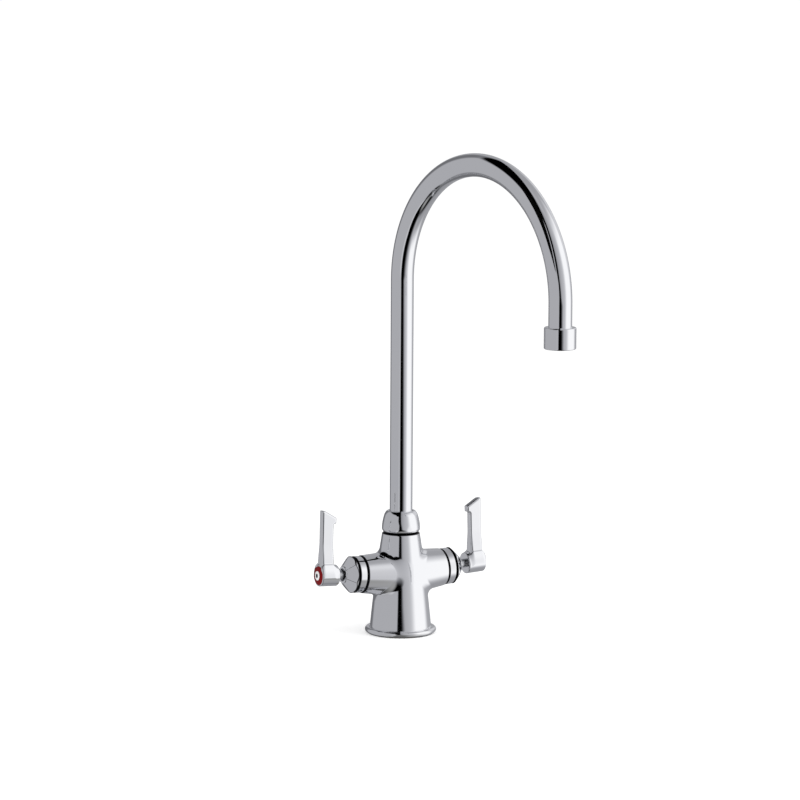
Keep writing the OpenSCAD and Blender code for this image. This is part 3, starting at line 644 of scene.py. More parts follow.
# %% Sizes of the body in millimetres
FOOT_D, FOOT_BEAD, GASKET = 58.9, 4.8, 0.6
FOOT_GROOVE = 0.8
COLUMN_D, COLUMN_BELLY = 50.8, 0.7
NECK_D, NECK_Z, NECK_ROUND = 31.4, 84.1, 1.2
SPIGOT_D, SPIGOT_Z = 25.4, 93.8
ARM_D, ARM_REACH, ARM_TAPER, ARM_ROUND = 31.0, 38.1, math.radians(6), 1.3
SHANK_SOCKET_D, HOLLOW_Z = 33.0, 30.0
PORT_D, PORT_X, PORT_TOP = 10.0, 7.5, 40.0
SOCKET_D, SOCKET_Z, RISER_D, RISER_Z = 22.0, 70.0, 14.0, 59.0
MOUTH_D, SHOULDER, CHAMBER_D, CHAMBER_START = 24.5, 28.0, 19.6, 16.5
FRONT_FILLET, SIDE_FILLET, LOWER_FILLET = 2.2, 2.8, 1.2
OVERLAP = 1
BODY_LOW, BODY_HIGH = (-40.3, -30.2, 0.13), (40.3, 30.2, 94.4)
print("column: %.1f mm at the foot, %.1f mm at the neck" % (COLUMN_D, NECK_D))


# %% The body's formula
def column_solid(radius, z):
    low = np.array([COLUMN_D/2, GASKET + FOOT_BEAD - FOOT_GROOVE])
    high = np.array([NECK_D/2, NECK_Z - NECK_ROUND])
    half = np.linalg.norm(high - low)/2
    wall = bulged_wall(low, high, (half**2 + COLUMN_BELLY**2)/(2*COLUMN_BELLY), radius, z)
    column = rounded_overlap(wall, z - NECK_Z, NECK_ROUND)
    return np.maximum(column, low[1] - z)


def foot_solid(radius, z):
    bead_at = (FOOT_D - FOOT_BEAD)/2
    bead = np.hypot(radius - bead_at, z - GASKET - FOOT_BEAD/2) - FOOT_BEAD/2
    plate = np.maximum(radius - bead_at, np.maximum(z - GASKET - FOOT_BEAD + FOOT_GROOVE, GASKET - z))
    return np.minimum(bead, plate)


def body_solid(points):
    x, y, z = points.T
    radius = np.hypot(x, y)
    metal = column_solid(radius, z)
    bores = [np.maximum(radius - SHANK_SOCKET_D/2, z - HOLLOW_Z),
             np.maximum(radius - SOCKET_D/2, SOCKET_Z - z),
             np.maximum(radius - RISER_D/2, np.maximum(RISER_Z - z, z - SOCKET_Z - OVERLAP))]
    for hand in (HOT, COLD):
        along, behind, up = object_to_arm(points, hand)
        off_axis = np.hypot(up, behind)
        cone = (off_axis - ARM_D/2 - (ARM_REACH - along)*math.tan(ARM_TAPER))*math.cos(ARM_TAPER)
        arm = np.maximum(rounded_overlap(cone, along - ARM_REACH, ARM_ROUND), -along)
        steepness = (up/np.maximum(off_axis, 1e-6))**2
        fillet = FRONT_FILLET + SIDE_FILLET*steepness + LOWER_FILLET*steepness*(up < 0)
        metal = rounded_join(metal, arm, fillet)
        bores.append(np.maximum(off_axis - MOUTH_D/2, SHOULDER - along))
        bores.append(np.maximum(off_axis - CHAMBER_D/2, CHAMBER_START - along))
        port = np.hypot(x - hand*PORT_X, y) - PORT_D/2
        bores.append(np.maximum(port, np.maximum(z - PORT_TOP, HOLLOW_Z - OVERLAP - z)))
    metal = np.minimum(metal, foot_solid(radius, z))
    spigot = np.maximum(radius - SPIGOT_D/2, np.maximum(z - SPIGOT_Z, NECK_Z - OVERLAP - z))
    metal = np.minimum(metal, spigot)
    for bore in bores:
        metal = np.maximum(metal, -bore)
    return metal


print("wall at the column's middle height:", column_solid(np.array([22.0]), np.array([40.0])))

# %% Cast the body
NET_STEP = 0.5
body_shape = fitted_net(body_solid, BODY_LOW, BODY_HIGH, NET_STEP)
make_piece("column_and_arms", body_shape, groove_shaded_chrome, "root", "faucet_body")
print("body:", len(body_shape[0]), "vertices")

# %% [markdown]
# ## Turned parts
# Rings, nuts and tubes are turned on a lathe: an outline is swung round an axis. A mesh of
# a turned part shades well only if each corner's normals are known, so the outline keeps
# the exact direction of every straight stretch and of every rounded corner.

# %% An outline with rounded corners
def rounded_outline(corners, steps=6):
    """Points and end normals of a closed outline of (radius, height, rounding) corners."""
    corners = [np.array(c, float) for c in corners]
    stretches = []
    count = len(corners)
    for i in range(count):
        before, here, after = corners[i - 1][:2], corners[i][:2], corners[(i + 1) % count][:2]
        rounding = corners[i][2]
        towards = (before - here)/np.linalg.norm(before - here)
        away = (after - here)/np.linalg.norm(after - here)
        if rounding == 0:
            stretches.append([here])
            continue
        half = math.acos(np.clip(towards @ away, -1, 1))/2
        back_off = rounding/math.tan(half)
        middle = here + (towards + away)/np.linalg.norm(towards + away)*rounding/math.sin(half)
        first = here + back_off*towards - middle
        last = here + back_off*away - middle
        turn = math.atan2(first[0]*last[1] - first[1]*last[0], first @ last)
        stretches.append([middle + rotate(first, turn*k/steps) for k in range(steps + 1)])
    points = []
    normals = []
    for i in range(count):
        arc = stretches[i]
        for k in range(len(arc) - 1):
            points.append(arc[k])
            normals.append(arc_normals(arc, k))
        points.append(arc[-1])
        leg = stretches[(i + 1) % count][0] - arc[-1]
        flat = np.array([leg[1], -leg[0]])/max(np.linalg.norm(leg), 1e-9)
        normals.append((flat, flat))
    return np.array(points), normals


def rotate(vector, angle):
    c, s = math.cos(angle), math.sin(angle)
    return np.array([c*vector[0] - s*vector[1], s*vector[0] + c*vector[1]])


def arc_normals(arc, k):
    """Normals at both ends of one chord of a rounded corner."""
    chord = arc[1] - arc[0]
    centre = circle_centre(arc[0], arc[len(arc)//2], arc[-1])
    flat = np.array([chord[1], -chord[0]])
    sign = 1 if flat @ (arc[0] - centre) > 0 else -1
    ends = [sign*(arc[k + j] - centre) for j in (0, 1)]
    return tuple(e/np.linalg.norm(e) for e in ends)


def circle_centre(a, b, c):
    """Centre of the circle through three points."""
    rows = 2*np.array([b - a, c - a])
    return np.linalg.solve(rows, np.array([b @ b - a @ a, c @ c - a @ a]))


rounded_square = [(1, 0, 0.2), (2, 0, 0.2), (2, 1, 0.2), (1, 1, 0.2)]
print("outline of a rounded square:", len(rounded_outline(rounded_square)[0]), "points")


# %% Swing the outline round
def lathe(corners, segments=144, steps=6):
    """A ring in its own frame: height, then two directions across. Corners run so that
    the metal is on their left."""
    points, ends = rounded_outline(corners, steps)
    angles = np.arange(segments)*2*math.pi/segments
    circle = np.stack([np.cos(angles), np.sin(angles)], 1)
    count = len(points)
    vertices = np.empty((segments, count, 3))
    vertices[:, :, 0] = points[:, 1]
    vertices[:, :, 1:] = points[None, :, 0, None]*circle[:, None, :]
    faces = []
    normals = []
    for i in range(segments):
        j = (i + 1) % segments
        for k in range(count):
            n = (k + 1) % count
            faces.append((i*count + k, j*count + k, j*count + n, i*count + n))
            for turn, end in ((i, 0), (j, 0), (j, 1), (i, 1)):
                direction = ends[k][end]
                normals.append((direction[1], direction[0]*circle[turn, 0], direction[0]*circle[turn, 1]))
    return vertices.reshape(-1, 3), faces, np.array(normals)


def upright(shape, place_xy):
    """Stands a lathe shape up over a place on the deck."""
    vertices, faces, normals = shape
    swap = [1, 2, 0]
    return vertices[:, swap] + np.array([*place_xy, 0]), faces, normals[:, swap]


print("a ring with square edges has", len(lathe([(1, 0, 0), (2, 0, 0), (2, 1, 0), (1, 1, 0)])[1]), "faces")

# %% [markdown]
# ## Bonnet rings and bonnet nuts
# Each arm ends in a plain ring and a round nut with six sides milled slanting towards its
# nose. The ring is a lathe piece. The nut's sides meet in soft creases, because it is
# polished after milling, so it is made from a formula: six slanting planes and a round rim.

# %% Bonnet rings
RING_D, RING_W, RING_BORE = 30.2, 7.2, 24.5
RING_EDGE = 1.3
ring_shape = lathe([(RING_BORE/2, ARM_REACH, 0), (RING_D/2, ARM_REACH, RING_EDGE),
                    (RING_D/2, ARM_REACH + RING_W, RING_EDGE), (RING_BORE/2, ARM_REACH + RING_W, 0)])
make_chrome_pair("ring", ring_shape, groove_shaded_chrome, "root", "bonnet_ring")
print("bonnet rings:", len(ring_shape[0]), "vertices each")

# %% Bonnet nuts
GROOVE_D, GROOVE_W = 26.8, 1.0
NUT_FLATS, NUT_CORNER_D, NUT_STRAIGHT, NUT_TAPER = 26.6, 30.4, 2.0, 5.6
NUT_TIP_FLATS, NUT_NOSE, NUT_HOLE_D = 14.0, 0.7, 10.4
BARREL_D, BARREL_START, ROOM_D, ROOM_END = 24.3, 30.5, 18.2, 50.4
NUT_START = ARM_REACH + RING_W + GROOVE_W
NUT_EDGE, NUT_CREASE, NOSE_FILLET = 0.45, 0.9, 0.3
NUT_LOW, NUT_HIGH = (BARREL_START - 0.41, -15.9, -15.9), (NUT_START + 9.2, 15.9, 15.9)


def nut_solid(points):
    along, behind, up = points.T
    radius = np.hypot(up, behind)
    off_flat = off_flat_angle(np.arctan2(behind, up) - NUT_FLAT_AT)
    tip = NUT_START + NUT_STRAIGHT + NUT_TAPER
    tilt = math.atan((NUT_FLATS - NUT_TIP_FLATS)/2/NUT_TAPER)
    faces = []
    for face_angle in (off_flat, SIXTH - off_flat):
        reach = radius*np.cos(face_angle) - NUT_FLATS/2
        faces.append(reach*math.cos(tilt) + (along - NUT_START - NUT_STRAIGHT)*math.sin(tilt))
    head = rounded_overlap(faces[0], faces[1], NUT_CREASE)
    head = rounded_overlap(head, radius - NUT_CORNER_D/2, NUT_CREASE)
    head = rounded_overlap(head, NUT_START - along, NUT_EDGE)
    head = np.maximum(head, along - tip)
    nose = rounded_overlap(radius - NUT_TIP_FLATS/2, along - tip - NUT_NOSE, NUT_EDGE/2)
    nose = np.maximum(nose, NUT_START - along)
    groove = np.maximum(along - NUT_START - OVERLAP, NUT_START - GROOVE_W - along)
    groove = np.maximum(radius - GROOVE_D/2, groove)
    barrel = np.maximum(radius - BARREL_D/2, np.maximum(along - NUT_START, BARREL_START - along))
    metal = np.minimum(np.minimum(rounded_join(head, nose, NOSE_FILLET), groove), barrel)
    hole = radius - NUT_HOLE_D/2
    room = np.maximum(radius - ROOM_D/2, along - ROOM_END)
    return np.maximum(np.maximum(metal, -hole), -room)


NUT_STEP = 0.25
nut_shape = fitted_net(nut_solid, NUT_LOW, NUT_HIGH, NUT_STEP)
make_chrome_pair("nut", nut_shape, nut_chrome, "root", "bonnet_nut")
print("bonnet nuts:", len(nut_shape[0]), "vertices each")

# %% [markdown]
# ## Levers
# A lever handle is one casting: a short hub on the valve stem and a flat blade that
# stands up from it, a little thicker at its root, with a slanted end and a small lip for
# the thumb. Its sides run into the hub in wide fillets, and its inner face in a tight one.

# %% The lever's formula
HUB_START, HUB_W, HUB_D, HUB_ROUND = 60.6, 16.0, 17.6, 0.8
HUB_END = HUB_START + HUB_W
LEVER_H, LEVER_LEAN, LEVER_SLANT = 53.9, 1.3, 6.0
LEVER_ROOT_W, LEVER_TIP_W, LEVER_ROOT_T, LEVER_TIP_T = 10.7, 11.2, 9.8, 6.2
LIP_W, LIP_H, LIP_RISE = 2.4, 5.3, 0.8
LEVER_INSET, LEVER_EDGE, LIP_ROUND = 0.7, 1.7, 0.7
TIP_FLAT = 2.6
BLADE_START, WAIST_START, WAIST_END = 11.8, 10.0, 28.0
SIDE_BLEND, FACE_BLEND, BLEND_CHANGE = 5.5, 1.0, (3.2, 6.2)
SPLINE_BORE, WEB_START, HEAD_START, WEB_HOLE, HEAD_HOLE = 6.5, 71.3, 73.2, 3.9, 7.4
INDEX_START, INDEX_HOLE = 75.8, 15.5
LEVER_LOW, LEVER_HIGH = (HUB_START - 0.65, -9.45, -9.45), (78.3, 9.45, 55.6)


def beyond(point_a, point_b, along, up):
    """Distance to the right of the line from point_a to point_b."""
    run = np.array(point_b) - np.array(point_a)
    right = np.array([run[1], -run[0]])/np.linalg.norm(run)
    return (along - point_a[0])*right[0] + (up - point_a[1])*right[1]


# The blade's side view is cut out of a slab that is thick at its root and thin above.
def lever_solid(points):
    along, behind, up = points.T
    radius = np.hypot(up, behind)
    hub = rounded_overlap(radius - HUB_D/2, np.abs(along - (HUB_START + HUB_END)/2) - HUB_W/2, HUB_ROUND)
    out_x = HUB_END - LEVER_INSET
    tip_x = out_x + LEVER_LEAN
    in_x = out_x - LEVER_ROOT_W
    corner_h = LEVER_H - LEVER_SLANT
    under = (tip_x - LEVER_TIP_W, corner_h - LIP_H)
    lip_x = under[0] - LIP_W
    outer = beyond((out_x, BLADE_START), (tip_x, LEVER_H), along, up)
    inner = -beyond((in_x, BLADE_START), under, along, up)
    top = -beyond((lip_x, corner_h), (tip_x - TIP_FLAT, LEVER_H), along, up)
    lip_under = -beyond(under, (lip_x, under[1] + LIP_RISE), along, up)
    lip = rounded_overlap(lip_x - along, lip_under, LIP_ROUND)
    lip = np.maximum(lip, along - (lip_x + tip_x)/2)
    outline = rounded_join(rounded_overlap(outer, inner, LIP_ROUND), lip, LIP_ROUND)
    outline = rounded_overlap(rounded_overlap(outline, top, LIP_ROUND), up - LEVER_H, LIP_ROUND)
    outline = np.maximum(outline, -up - OVERLAP)
    half = LEVER_ROOT_T/2 + (LEVER_TIP_T - LEVER_ROOT_T)/2*ease(up, WAIST_START, WAIST_END)
    blade = rounded_overlap(outline, np.abs(behind) - half, LEVER_EDGE)
    blend = FACE_BLEND + (SIDE_BLEND - FACE_BLEND)*ease(np.abs(behind), *BLEND_CHANGE)
    metal = rounded_join(hub, blade, blend)
    metal = np.maximum(metal, -np.maximum(radius - SPLINE_BORE/2, along - WEB_START))
    metal = np.maximum(metal, WEB_HOLE/2 - radius)
    metal = np.maximum(metal, -np.maximum(radius - HEAD_HOLE/2, HEAD_START - along))
    return np.maximum(metal, -np.maximum(radius - INDEX_HOLE/2, INDEX_START - along))


print("lever formula at the blade's middle:", lever_solid(np.array([[71.5, 0.0, 30.0]])))

# %% Cast the levers
LEVER_STEP = 0.3
lever_shape = fitted_net(lever_solid, LEVER_LOW, LEVER_HIGH, LEVER_STEP)
make_chrome_pair("lever_handle", lever_shape, chrome, "{}_handle", "lever")
print("levers:", len(lever_shape[0]), "vertices each")

# %% [markdown]
# ## Index buttons
# The button in the end of each hub tells hot from cold: a red or blue ring round a white
# disc with a small dark mark. The mark is painted, so it belongs to the button's finish: a
# mask from the distance to the handle's axis. Both parts are turned, so both are lathe pieces.

# %% The white button's finish
INDEX_CROWN = 1.3
BUTTON_TOP = HUB_END + INDEX_CROWN
DOT_R, DOT_EDGE = 1.9, 0.12
BUTTON_POINT = {name: arm_to_object([[BUTTON_TOP, 0, 0]], hand)[0]*MM for name, hand in SIDES.items()}


def button_paint(name, centre):
    paint = Paint(name)
    across = paint.length(paint.place() - tuple(centre))
    mask = (DOT_R*MM - across)/(DOT_EDGE*MM)
    shown = paint.out(paint.node("ShaderNodeClamp", None, Value=mask))
    stain = paint.noise(scale=80, detail=3)
    white = paint.mix((0.85, 0.85, 0.85, 1), (0.74, 0.74, 0.75, 1), stain)
    paint.bump(stain, strength=0.1, distance=0.0001)
    return paint.set(Base_Color=paint.mix(white, (0.02, 0.02, 0.025, 1), shown), Roughness=0.25,
                     Coat_Weight=0.5)


print("dot centres:", {k: v.round(4).tolist() for k, v in BUTTON_POINT.items()})

# %% Rings and buttons
INDEX_D, INDEX_MID_D, INDEX_BAND = 15.4, 10.0, 2.7
BUTTON_BEVEL, DIMPLE_D = 0.3, 3.0
RIM_D, RIM_DEPTH, RIM_GAP = 7.7, 0.35, 0.02
RIM_FLOOR = BUTTON_TOP - RIM_DEPTH
BUTTON_D = RIM_D - 2*RIM_GAP
TINY = 0.02
index_outline = [(INDEX_MID_D/2, INDEX_START, 0), (INDEX_D/2, INDEX_START, 0),
                 (INDEX_D/2, HUB_END, 0.2), (RIM_D/2 + INDEX_BAND/6, BUTTON_TOP, 0.25),
                 (RIM_D/2, BUTTON_TOP - 0.05, 0), (RIM_D/2, RIM_FLOOR, 0),
                 (INDEX_MID_D/2, RIM_FLOOR, 0)]
index_ring_shape = lathe(index_outline, segments=96, steps=4)
button_outline = [(TINY, INDEX_START, 0), (INDEX_MID_D/2, INDEX_START, 0),
                  (INDEX_MID_D/2, RIM_FLOOR - RIM_GAP, 0), (BUTTON_D/2, RIM_FLOOR - RIM_GAP, 0),
                  (BUTTON_D/2, BUTTON_TOP, 0.15),
                  ((RIM_D + DIMPLE_D)/4, BUTTON_TOP + BUTTON_BEVEL, 0.6),
                  (DIMPLE_D/2, BUTTON_TOP + BUTTON_BEVEL, 0.3), (DIMPLE_D/2 - 0.3, BUTTON_TOP, 0.3),
                  (TINY, BUTTON_TOP, 0)]
button_shape = lathe(button_outline, segments=96, steps=4)
for name, hand in SIDES.items():
    colour = "hot_red" if hand == HOT else "cold_blue"
    make_on_arm(name + "_colour_ring", hand, index_ring_shape, finishes[colour], name + "_handle",
                name + "_index_ring")
    make_on_arm(name + "_button", hand, button_shape,
                button_paint(name + "_white_button", BUTTON_POINT[name]), name + "_handle",
                name + "_index_button")
print("index buttons are in")

# %% [markdown]
# ## The gooseneck
# The spout is one bent tube: up, round a half circle, and a short way down to the outlet.
# A curve with a round bevel would do, but its ends and wall would be left open, so the
# tube is swept in code as a real tube with a wall, dense enough for clean reflections.

# %% Sweep the tube
TUBE_D, TUBE_WALL, BEND_R, BEND_Z = 18.8, 1.2, 101.6, 294.0
TUBE_START, OUTLET_TOP, OUTLET_SOCKET = 88.3, 276.4, 6.0
RISE_STEPS, BEND_STEPS, DROP_STEPS, TUBE_SEGMENTS = 43, 180, 7, 96
SPOUT_TURN = math.radians(9)
AHEAD = np.array([math.sin(SPOUT_TURN), -math.cos(SPOUT_TURN), 0])
LEFTWARD = np.array([math.cos(SPOUT_TURN), math.sin(SPOUT_TURN), 0])
UP = np.array([0, 0, 1.0])


def tube_stations():
    """Points along the tube's middle, each with its direction."""
    stations = [(UP*z, UP) for z in np.linspace(TUBE_START, BEND_Z, RISE_STEPS + 1)[:-1]]
    for angle in np.linspace(0, math.pi, BEND_STEPS + 1):
        centre = AHEAD*BEND_R*(1 - math.cos(angle)) + UP*(BEND_Z + BEND_R*math.sin(angle))
        stations.append((centre, AHEAD*math.sin(angle) + UP*math.cos(angle)))
    for z in np.linspace(BEND_Z, OUTLET_TOP - OUTLET_SOCKET, DROP_STEPS + 1)[1:]:
        stations.append((AHEAD*2*BEND_R + UP*z, -UP))
    return stations


def sweep_tube(stations, outer_r, inner_r, segments):
    """A tube with a wall and flat ends, with a normal for every corner of every face."""
    angles = np.arange(segments)*2*math.pi/segments
    rows = []
    directions = []
    for centre, along in stations:
        across = np.cross(LEFTWARD, along)
        spoke = np.cos(angles)[:, None]*LEFTWARD + np.sin(angles)[:, None]*across
        rows.append(centre + outer_r*spoke)
        directions.append(spoke)
    inside = [row + (inner_r - outer_r)*spoke for row, spoke in zip(rows, directions)]
    loop = rows + inside[::-1]
    facing = directions + [-d for d in directions[::-1]]
    count = len(loop)
    faces = []
    normals = []
    last = len(stations) - 1
    for i in range(count):
        j = (i + 1) % count
        for k in range(segments):
            n = (k + 1) % segments
            faces.append((i*segments + k, j*segments + k, j*segments + n, i*segments + n))
            if i in (last, count - 1):
                end_normal = stations[last][1] if i == last else -stations[0][1]
                normals.extend([end_normal]*4)
            else:
                normals.extend([facing[i][k], facing[j][k], facing[j][n], facing[i][n]])
    return np.concatenate(loop), faces, np.array(normals)


tube_shape = sweep_tube(tube_stations(), TUBE_D/2, TUBE_D/2 - TUBE_WALL, TUBE_SEGMENTS)
make_piece("gooseneck", tube_shape, chrome, "spout", "spout_tube")
print("gooseneck:", len(tube_shape[0]), "vertices")

# %% [markdown]
# ## The spout nut
# The nut that holds the spout down is domed, with a bevelled top and six low spanner flats
# milled into its widest part. The tube passes through it with a hair of air, because the
# spout turns and the nut doesn't.

# %% The spout nut's formula
COLLAR_BOTTOM = 84.4
COLLAR_H, COLLAR_D, COLLAR_FOOT_D, COLLAR_WIDE_H = 18.0, 32.0, 28.4, 2.6
COLLAR_TOP_D, COLLAR_BEVEL, COLLAR_DOME, COLLAR_FLATS = 26.6, 1.8, 50.0, 31.4
COLLAR_ROOM_D, COLLAR_SHELF, COLLAR_HOLE_D = 25.6, 98.0, 19.4
FOOT_EDGE, BEVEL_EDGE, FLAT_EDGE, TOP_EDGE, HOLE_EDGE = 0.7, 0.8, 0.2, 0.5, 0.3
COLLAR_LOW, COLLAR_HIGH = (-16.5, -16.5, 84.0), (16.5, 16.5, 102.9)


def collar_solid(points):
    x, y, z = points.T
    radius = np.hypot(x, y)
    height = z - COLLAR_BOTTOM
    low = np.array([COLLAR_D/2, COLLAR_WIDE_H])
    high = np.array([COLLAR_TOP_D/2, COLLAR_H - COLLAR_BEVEL])
    dome = bulged_wall(low, high, COLLAR_DOME, radius, height)
    foot = beyond((COLLAR_FOOT_D/2, 0), low, radius, height)
    bevel = beyond(high, (COLLAR_TOP_D/2 - COLLAR_BEVEL, COLLAR_H), radius, height)
    nut = rounded_overlap(rounded_overlap(dome, foot, FOOT_EDGE), bevel, BEVEL_EDGE)
    off_flat = off_flat_angle(np.arctan2(y, x) + SIXTH/2)
    nut = rounded_overlap(nut, radius*np.cos(off_flat) - COLLAR_FLATS/2, FLAT_EDGE)
    nut = rounded_overlap(nut, height - COLLAR_H, TOP_EDGE)
    nut = rounded_overlap(nut, -height, FLAT_EDGE)
    nut = rounded_overlap(nut, COLLAR_HOLE_D/2 - radius, HOLE_EDGE)
    return np.maximum(nut, -np.maximum(radius - COLLAR_ROOM_D/2, z - COLLAR_SHELF))


COLLAR_STEP = 0.32
collar_shape = fitted_net(collar_solid, COLLAR_LOW, COLLAR_HIGH, COLLAR_STEP)
make_piece("domed_spout_nut", collar_shape, groove_shaded_chrome, "root", "spout_nut")
print("spout nut:", len(collar_shape[0]), "vertices")

# %% [markdown]
# ## The outlet
# The outlet ring is soldered to the tube's end and has an inside thread for the water
# insert. It is turned, with softly broken edges.

# %% Turn the outlet ring
OUTLET_D, OUTLET_H, OUTLET_ROUND, OUTLET_INNER_ROUND, OUTLET_LAND = 25.6, 17.2, 0.9, 0.3, 1.5
INSERT_D = 22.4
OUTLET_Z = OUTLET_TOP - OUTLET_H
TUBE_END_Z = OUTLET_TOP - OUTLET_SOCKET
LAND_Z = TUBE_END_Z - OUTLET_LAND
TUBE_IN_R = TUBE_D/2 - TUBE_WALL
outlet_place = (AHEAD*2*BEND_R)[:2]
outlet_outline = [(INSERT_D/2, OUTLET_Z, OUTLET_INNER_ROUND), (OUTLET_D/2, OUTLET_Z, OUTLET_ROUND),
                  (OUTLET_D/2, OUTLET_TOP, OUTLET_ROUND), (TUBE_D/2, OUTLET_TOP, OUTLET_INNER_ROUND),
                  (TUBE_D/2, TUBE_END_Z, 0), (TUBE_IN_R, TUBE_END_Z, 0),
                  (TUBE_IN_R, LAND_Z, 0), (INSERT_D/2, LAND_Z, 0)]
outlet_shape = upright(lathe(outlet_outline), outlet_place)
make_piece("outlet_collar", outlet_shape, chrome, "spout", "outlet_ring")
print("outlet ring:", len(outlet_shape[0]), "vertices")

# %% [markdown]
# ## The studio
# Chrome shows what stands round it. The photograph's metal shows a pale grey wall on the
# left with a dark ceiling, a large soft white light on the right, a smaller one behind it,
# and a black strip beside the lens that narrows and leans to the left as it rises: it draws
# the dark line down the column. The same studio is painted here on a big dome that only
# mirrors see. Real lamps and cards would do the same, but each would need many samples.

# %% Floor
def staged(name, vertices, faces, material):
    """A mesh object in metres that belongs to the studio and not to the faucet."""
    mesh = bpy.data.meshes.new(name)
    mesh.from_pydata(vertices, [], faces)
    mesh.materials.append(material)
    mesh.shade_smooth()
    thing = bpy.data.objects.new(name, mesh)
    bpy.context.scene.collection.objects.link(thing)
    return thing


FLOOR_HALF, FLOOR_GLOW = 14.0, 0.34


def square(half):
    """Corners of a level square round the origin."""
    return [(-half, -half, 0), (half, -half, 0), (half, half, 0), (-half, half, 0)]


floor_paint = Paint("pale_floor")
cloud = floor_paint.noise(scale=3, detail=2)
floor_paint.set(Base_Color=floor_paint.mix(grey(0.9), grey(0.92), cloud), Roughness=0.9,
                Specular_IOR_Level=0.0, Emission_Color=grey(1), Emission_Strength=FLOOR_GLOW)
floor = staged("floor", square(FLOOR_HALF), [(0, 1, 2, 3)], floor_paint.material)
floor.visible_glossy = False
print("floor at the height of the deck")

# %% [markdown]
# A place on the dome is given by its compass direction from the camera's side and its
# height above the horizon, both in degrees. Each wall or light is a soft-edged card with a
# span in both, laid over the ones before it, as cards would hang in front of one another. A
# span is two edges and their softness.

# %% The dome's directions
dome_paint = Paint("studio_dome")
way = dome_paint.node("ShaderNodeVectorMath", {"operation": "NORMALIZE"}, Vector=dome_paint.place())
way_x, way_y, way_z = dome_paint.parts(dome_paint.out(way))
DEGREE = math.pi/180
compass = way_x.apply("ARCTAN2", -1*way_y)/DEGREE
from_camera = (compass + math.degrees(CAMERA_TURN) + 540).apply("MODULO", 360) - 180
height = way_z.apply("ARCSINE")/DEGREE
print("directions are in degrees from the camera")

# %% Cards on the dome
STRIP_LEFT = [(-75, -50), (-60, -36), (-40, -18), (-10, -14), (0, -11), (7, -10.5), (15, -17), (46, -17)]
STRIP_RIGHT = [(-90, 34), (-60, 30), (-10, 24), (0, 8), (6, 5), (12, 1), (25, -3), (35, -9), (50, -10),
               (80, -40)]
STRIP_SOFTNESS = [(-12, 16), (2, 5), (20, 7)]
RIGHT_WALL = [(0, 0.3), (20, 0.43), (40, 0.52), (60, 0.46), (180, 0.37)]
RIGHT_WALL_HEIGHT = [(-60, 0.75), (0, 1.0), (40, 0.95), (60, 0.85)]
WALL_FOOT = (-69, 8)
PAST_BACK = -200
strip_left = dome_paint.curve(height, STRIP_LEFT)
RIGHT_CARDS = {"large light": ((51, 117, 14), (-42, 48, 14, 18), 0.97),
               "light behind": ((116, 164, 14), (4, 34, 7), 0.64)}
LEFT_CARDS = {"left wall": ((-181, strip_left, 2.5), (-70, 46, 4), 0.41),
              "bright edge": ((strip_left - 13, strip_left, 3), (-66, -9, 5), 0.53),
              "dark back": ((PAST_BACK, -133, 8), (-90, 46, 4), 0.16),
              "grey back": ((PAST_BACK, -166, 6), (-12, 44, 6), 0.38)}


def hang(light, cards):
    """Lays cards over the light so far."""
    for turns, heights, level in cards.values():
        mask = dome_paint.band(from_camera, *turns)*dome_paint.band(height, *heights)
        light = light + mask*(level - light)
    return light


light = dome_paint.curve(from_camera, RIGHT_WALL)*dome_paint.curve(height, RIGHT_WALL_HEIGHT)
light = light*dome_paint.step(from_camera, 0, 0.5)*dome_paint.step(height, *WALL_FOOT)
light = hang(light, RIGHT_CARDS)
strip_right = dome_paint.curve(height, STRIP_RIGHT)
light = light*dome_paint.step(from_camera, strip_right, dome_paint.curve(height, STRIP_SOFTNESS))
light = hang(light, LEFT_CARDS)
tint = dome_paint.mix((0.97, 0.98, 1.06, 1), (1, 1, 1.01, 1), light)
dome_paint.set(Base_Color=(0, 0, 0, 1), Specular_IOR_Level=0.0, Emission_Strength=1.0,
               Emission_Color=tint*dome_paint.grey_of(light))
print("cards: right wall,", ", ".join([*RIGHT_CARDS, "black strip", *LEFT_CARDS]))

# %% The dome
DOME_R, DOME_HEIGHT, DOME_STEPS = 6.0, 0.15, 48
DOME_ROWS = DOME_STEPS//2
dome_vertices = [(0, 0, -DOME_R)]
for i in range(1, DOME_ROWS):
    lift = math.pi*(i/DOME_ROWS - 0.5)
    for k in range(DOME_STEPS):
        turn = 2*math.pi*k/DOME_STEPS
        dome_vertices.append((DOME_R*math.cos(lift)*math.cos(turn), DOME_R*math.cos(lift)*math.sin(turn),
                              DOME_R*math.sin(lift)))
dome_vertices.append((0, 0, DOME_R))
dome_faces = []
top_vertex = len(dome_vertices) - 1
for k in range(DOME_STEPS):
    n = (k + 1) % DOME_STEPS
    dome_faces.append((0, 1 + n, 1 + k))
    for i in range(DOME_ROWS - 2):
        here = 1 + i*DOME_STEPS
        dome_faces.append((here + k, here + n, here + DOME_STEPS + n, here + DOME_STEPS + k))
    dome_faces.append((top_vertex, top_vertex - DOME_STEPS + k, top_vertex - DOME_STEPS + n))


def only_in_mirrors(thing):
    """Hides a thing from everything but reflections."""
    for sight in ("camera", "diffuse", "shadow", "transmission"):
        setattr(thing, "visible_" + sight, False)
    thing.active_material.cycles.emission_sampling = "NONE"


dome = staged("studio_dome", dome_vertices, dome_faces, dome_paint.material)
dome.location.z = DOME_HEIGHT
only_in_mirrors(dome)
print("dome of", len(dome_faces), "faces, seen only in mirrors")
